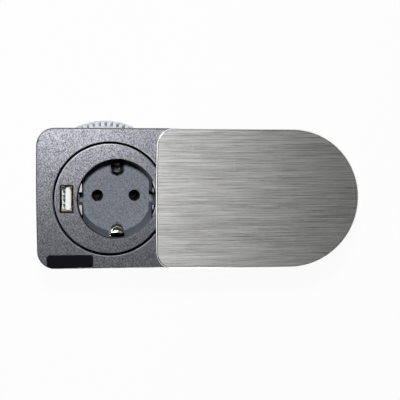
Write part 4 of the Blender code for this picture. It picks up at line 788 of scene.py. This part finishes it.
def makeFloor(s):  # plain white to the camera and in reflections, matte for shadows and bounced light
    bm = bmesh.new()
    bmesh.ops.create_grid(bm, x_segments=1, y_segments=1, size=s["floorSize"] / 2)
    bmesh.ops.translate(bm, verts=bm.verts, vec=(0, 0, s["floorHeight"]))
    mesh = bpy.data.meshes.new("studio_floor")
    bm.to_mesh(mesh)
    bm.free()
    floor = bpy.data.objects.new("studio_floor", mesh)
    bpy.context.scene.collection.objects.link(floor)
    material = bpy.data.materials.new("studioFloor")
    material.use_nodes = True
    tree = material.node_tree
    tree.nodes.clear()
    output = tree.nodes.new("ShaderNodeOutputMaterial")
    matte = addNode(tree, "ShaderNodeBsdfDiffuse", Color=s["floorColour"])
    glow = addNode(tree, "ShaderNodeEmission", Color=(1, 1, 1, 1), Strength=1.0)
    rays = tree.nodes.new("ShaderNodeLightPath")
    seen = addNode(tree, "ShaderNodeMath", operation="MAXIMUM")
    clear = addNode(tree, "ShaderNodeMath", operation="MAXIMUM")
    keep = addNode(tree, "ShaderNodeMath", operation="MULTIPLY")
    keep.inputs[1].default_value = s["floorGlow"]
    mix = tree.nodes.new("ShaderNodeMixShader")
    link = tree.links.new
    link(rays.outputs["Is Camera Ray"], seen.inputs[0])
    link(rays.outputs["Is Glossy Ray"], seen.inputs[1])
    link(seen.outputs[0], clear.inputs[0])
    link(rays.outputs["Is Transmission Ray"], clear.inputs[1])
    link(clear.outputs[0], keep.inputs[0])
    link(keep.outputs[0], mix.inputs["Fac"])
    link(matte.outputs["BSDF"], mix.inputs[1])
    link(glow.outputs["Emission"], mix.inputs[2])
    link(mix.outputs["Shader"], output.inputs["Surface"])
    mesh.materials.append(material)


def addFade(tree, start, end, first, last):  # from first to last, as the value goes from start to end
    fade = addNode(tree, "ShaderNodeMapRange", From_Min=start, From_Max=end, To_Min=first, To_Max=last)
    fade.interpolation_type = "SMOOTHSTEP"
    return fade


def makeWorld(s):  # pale round the horizon, dim in front and overhead, white where the camera sees it
    world = bpy.data.worlds.new("studioWorld")
    bpy.context.scene.world = world
    world.use_nodes = True
    tree = world.node_tree
    tree.nodes.clear()
    output = tree.nodes.new("ShaderNodeOutputWorld")
    place = tree.nodes.new("ShaderNodeTexCoord")
    split = tree.nodes.new("ShaderNodeSeparateXYZ")
    rising = addFade(tree, s["horizonTop"], s["overheadFrom"], s["horizon"], s["overhead"])
    facing = addFade(tree, s["frontFrom"], s["frontTo"], s["frontShade"], 1.0)
    strength = addNode(tree, "ShaderNodeMath", operation="MULTIPLY")
    ambient = addNode(tree, "ShaderNodeBackground", Color=(1, 1, 1, 1))
    plain = addNode(tree, "ShaderNodeBackground", Color=(1, 1, 1, 1), Strength=1.0)
    rays = tree.nodes.new("ShaderNodeLightPath")
    mix = tree.nodes.new("ShaderNodeMixShader")
    link = tree.links.new
    link(place.outputs["Generated"], split.inputs["Vector"])
    link(split.outputs["Z"], rising.inputs["Value"])
    link(split.outputs["Y"], facing.inputs["Value"])
    link(rising.outputs["Result"], strength.inputs[0])
    link(facing.outputs["Result"], strength.inputs[1])
    link(strength.outputs[0], ambient.inputs["Strength"])
    link(rays.outputs["Is Camera Ray"], mix.inputs["Fac"])
    link(ambient.outputs["Background"], mix.inputs[1])
    link(plain.outputs["Background"], mix.inputs[2])
    link(mix.outputs["Shader"], output.inputs["Surface"])


def makeLamp(name, power, size, place, aim):
    lamp = bpy.data.lights.new(name, "AREA")
    lamp.shape = "DISK"
    lamp.energy = power
    lamp.size = size
    holder = bpy.data.objects.new(name, lamp)
    bpy.context.scene.collection.objects.link(holder)
    holder.location = place
    holder.visible_camera = False
    holder.rotation_euler = (Vector(aim) - Vector(place)).to_track_quat("-Z", "Y").to_euler()


def makeCamera(s):
    camera = bpy.data.cameras.new("viewCamera")
    camera.lens = s["lens"]
    camera.sensor_width = 36.0
    camera.clip_start = 0.01
    holder = bpy.data.objects.new("viewCamera", camera)
    bpy.context.scene.collection.objects.link(holder)
    turn = Matrix((Vector(s["right"]), Vector(s["up"]), Vector(s["back"]))).transposed().to_4x4()
    holder.matrix_world = Matrix.Translation(s["place"]) @ turn
    bpy.context.scene.camera = holder


makeFloor(studio)
makeWorld(studio)
for name, values in lamps.items():
    makeLamp(name, *values)
makeCamera(view)
bpy.context.scene.view_settings.view_transform = "Standard"
print("studio ready")
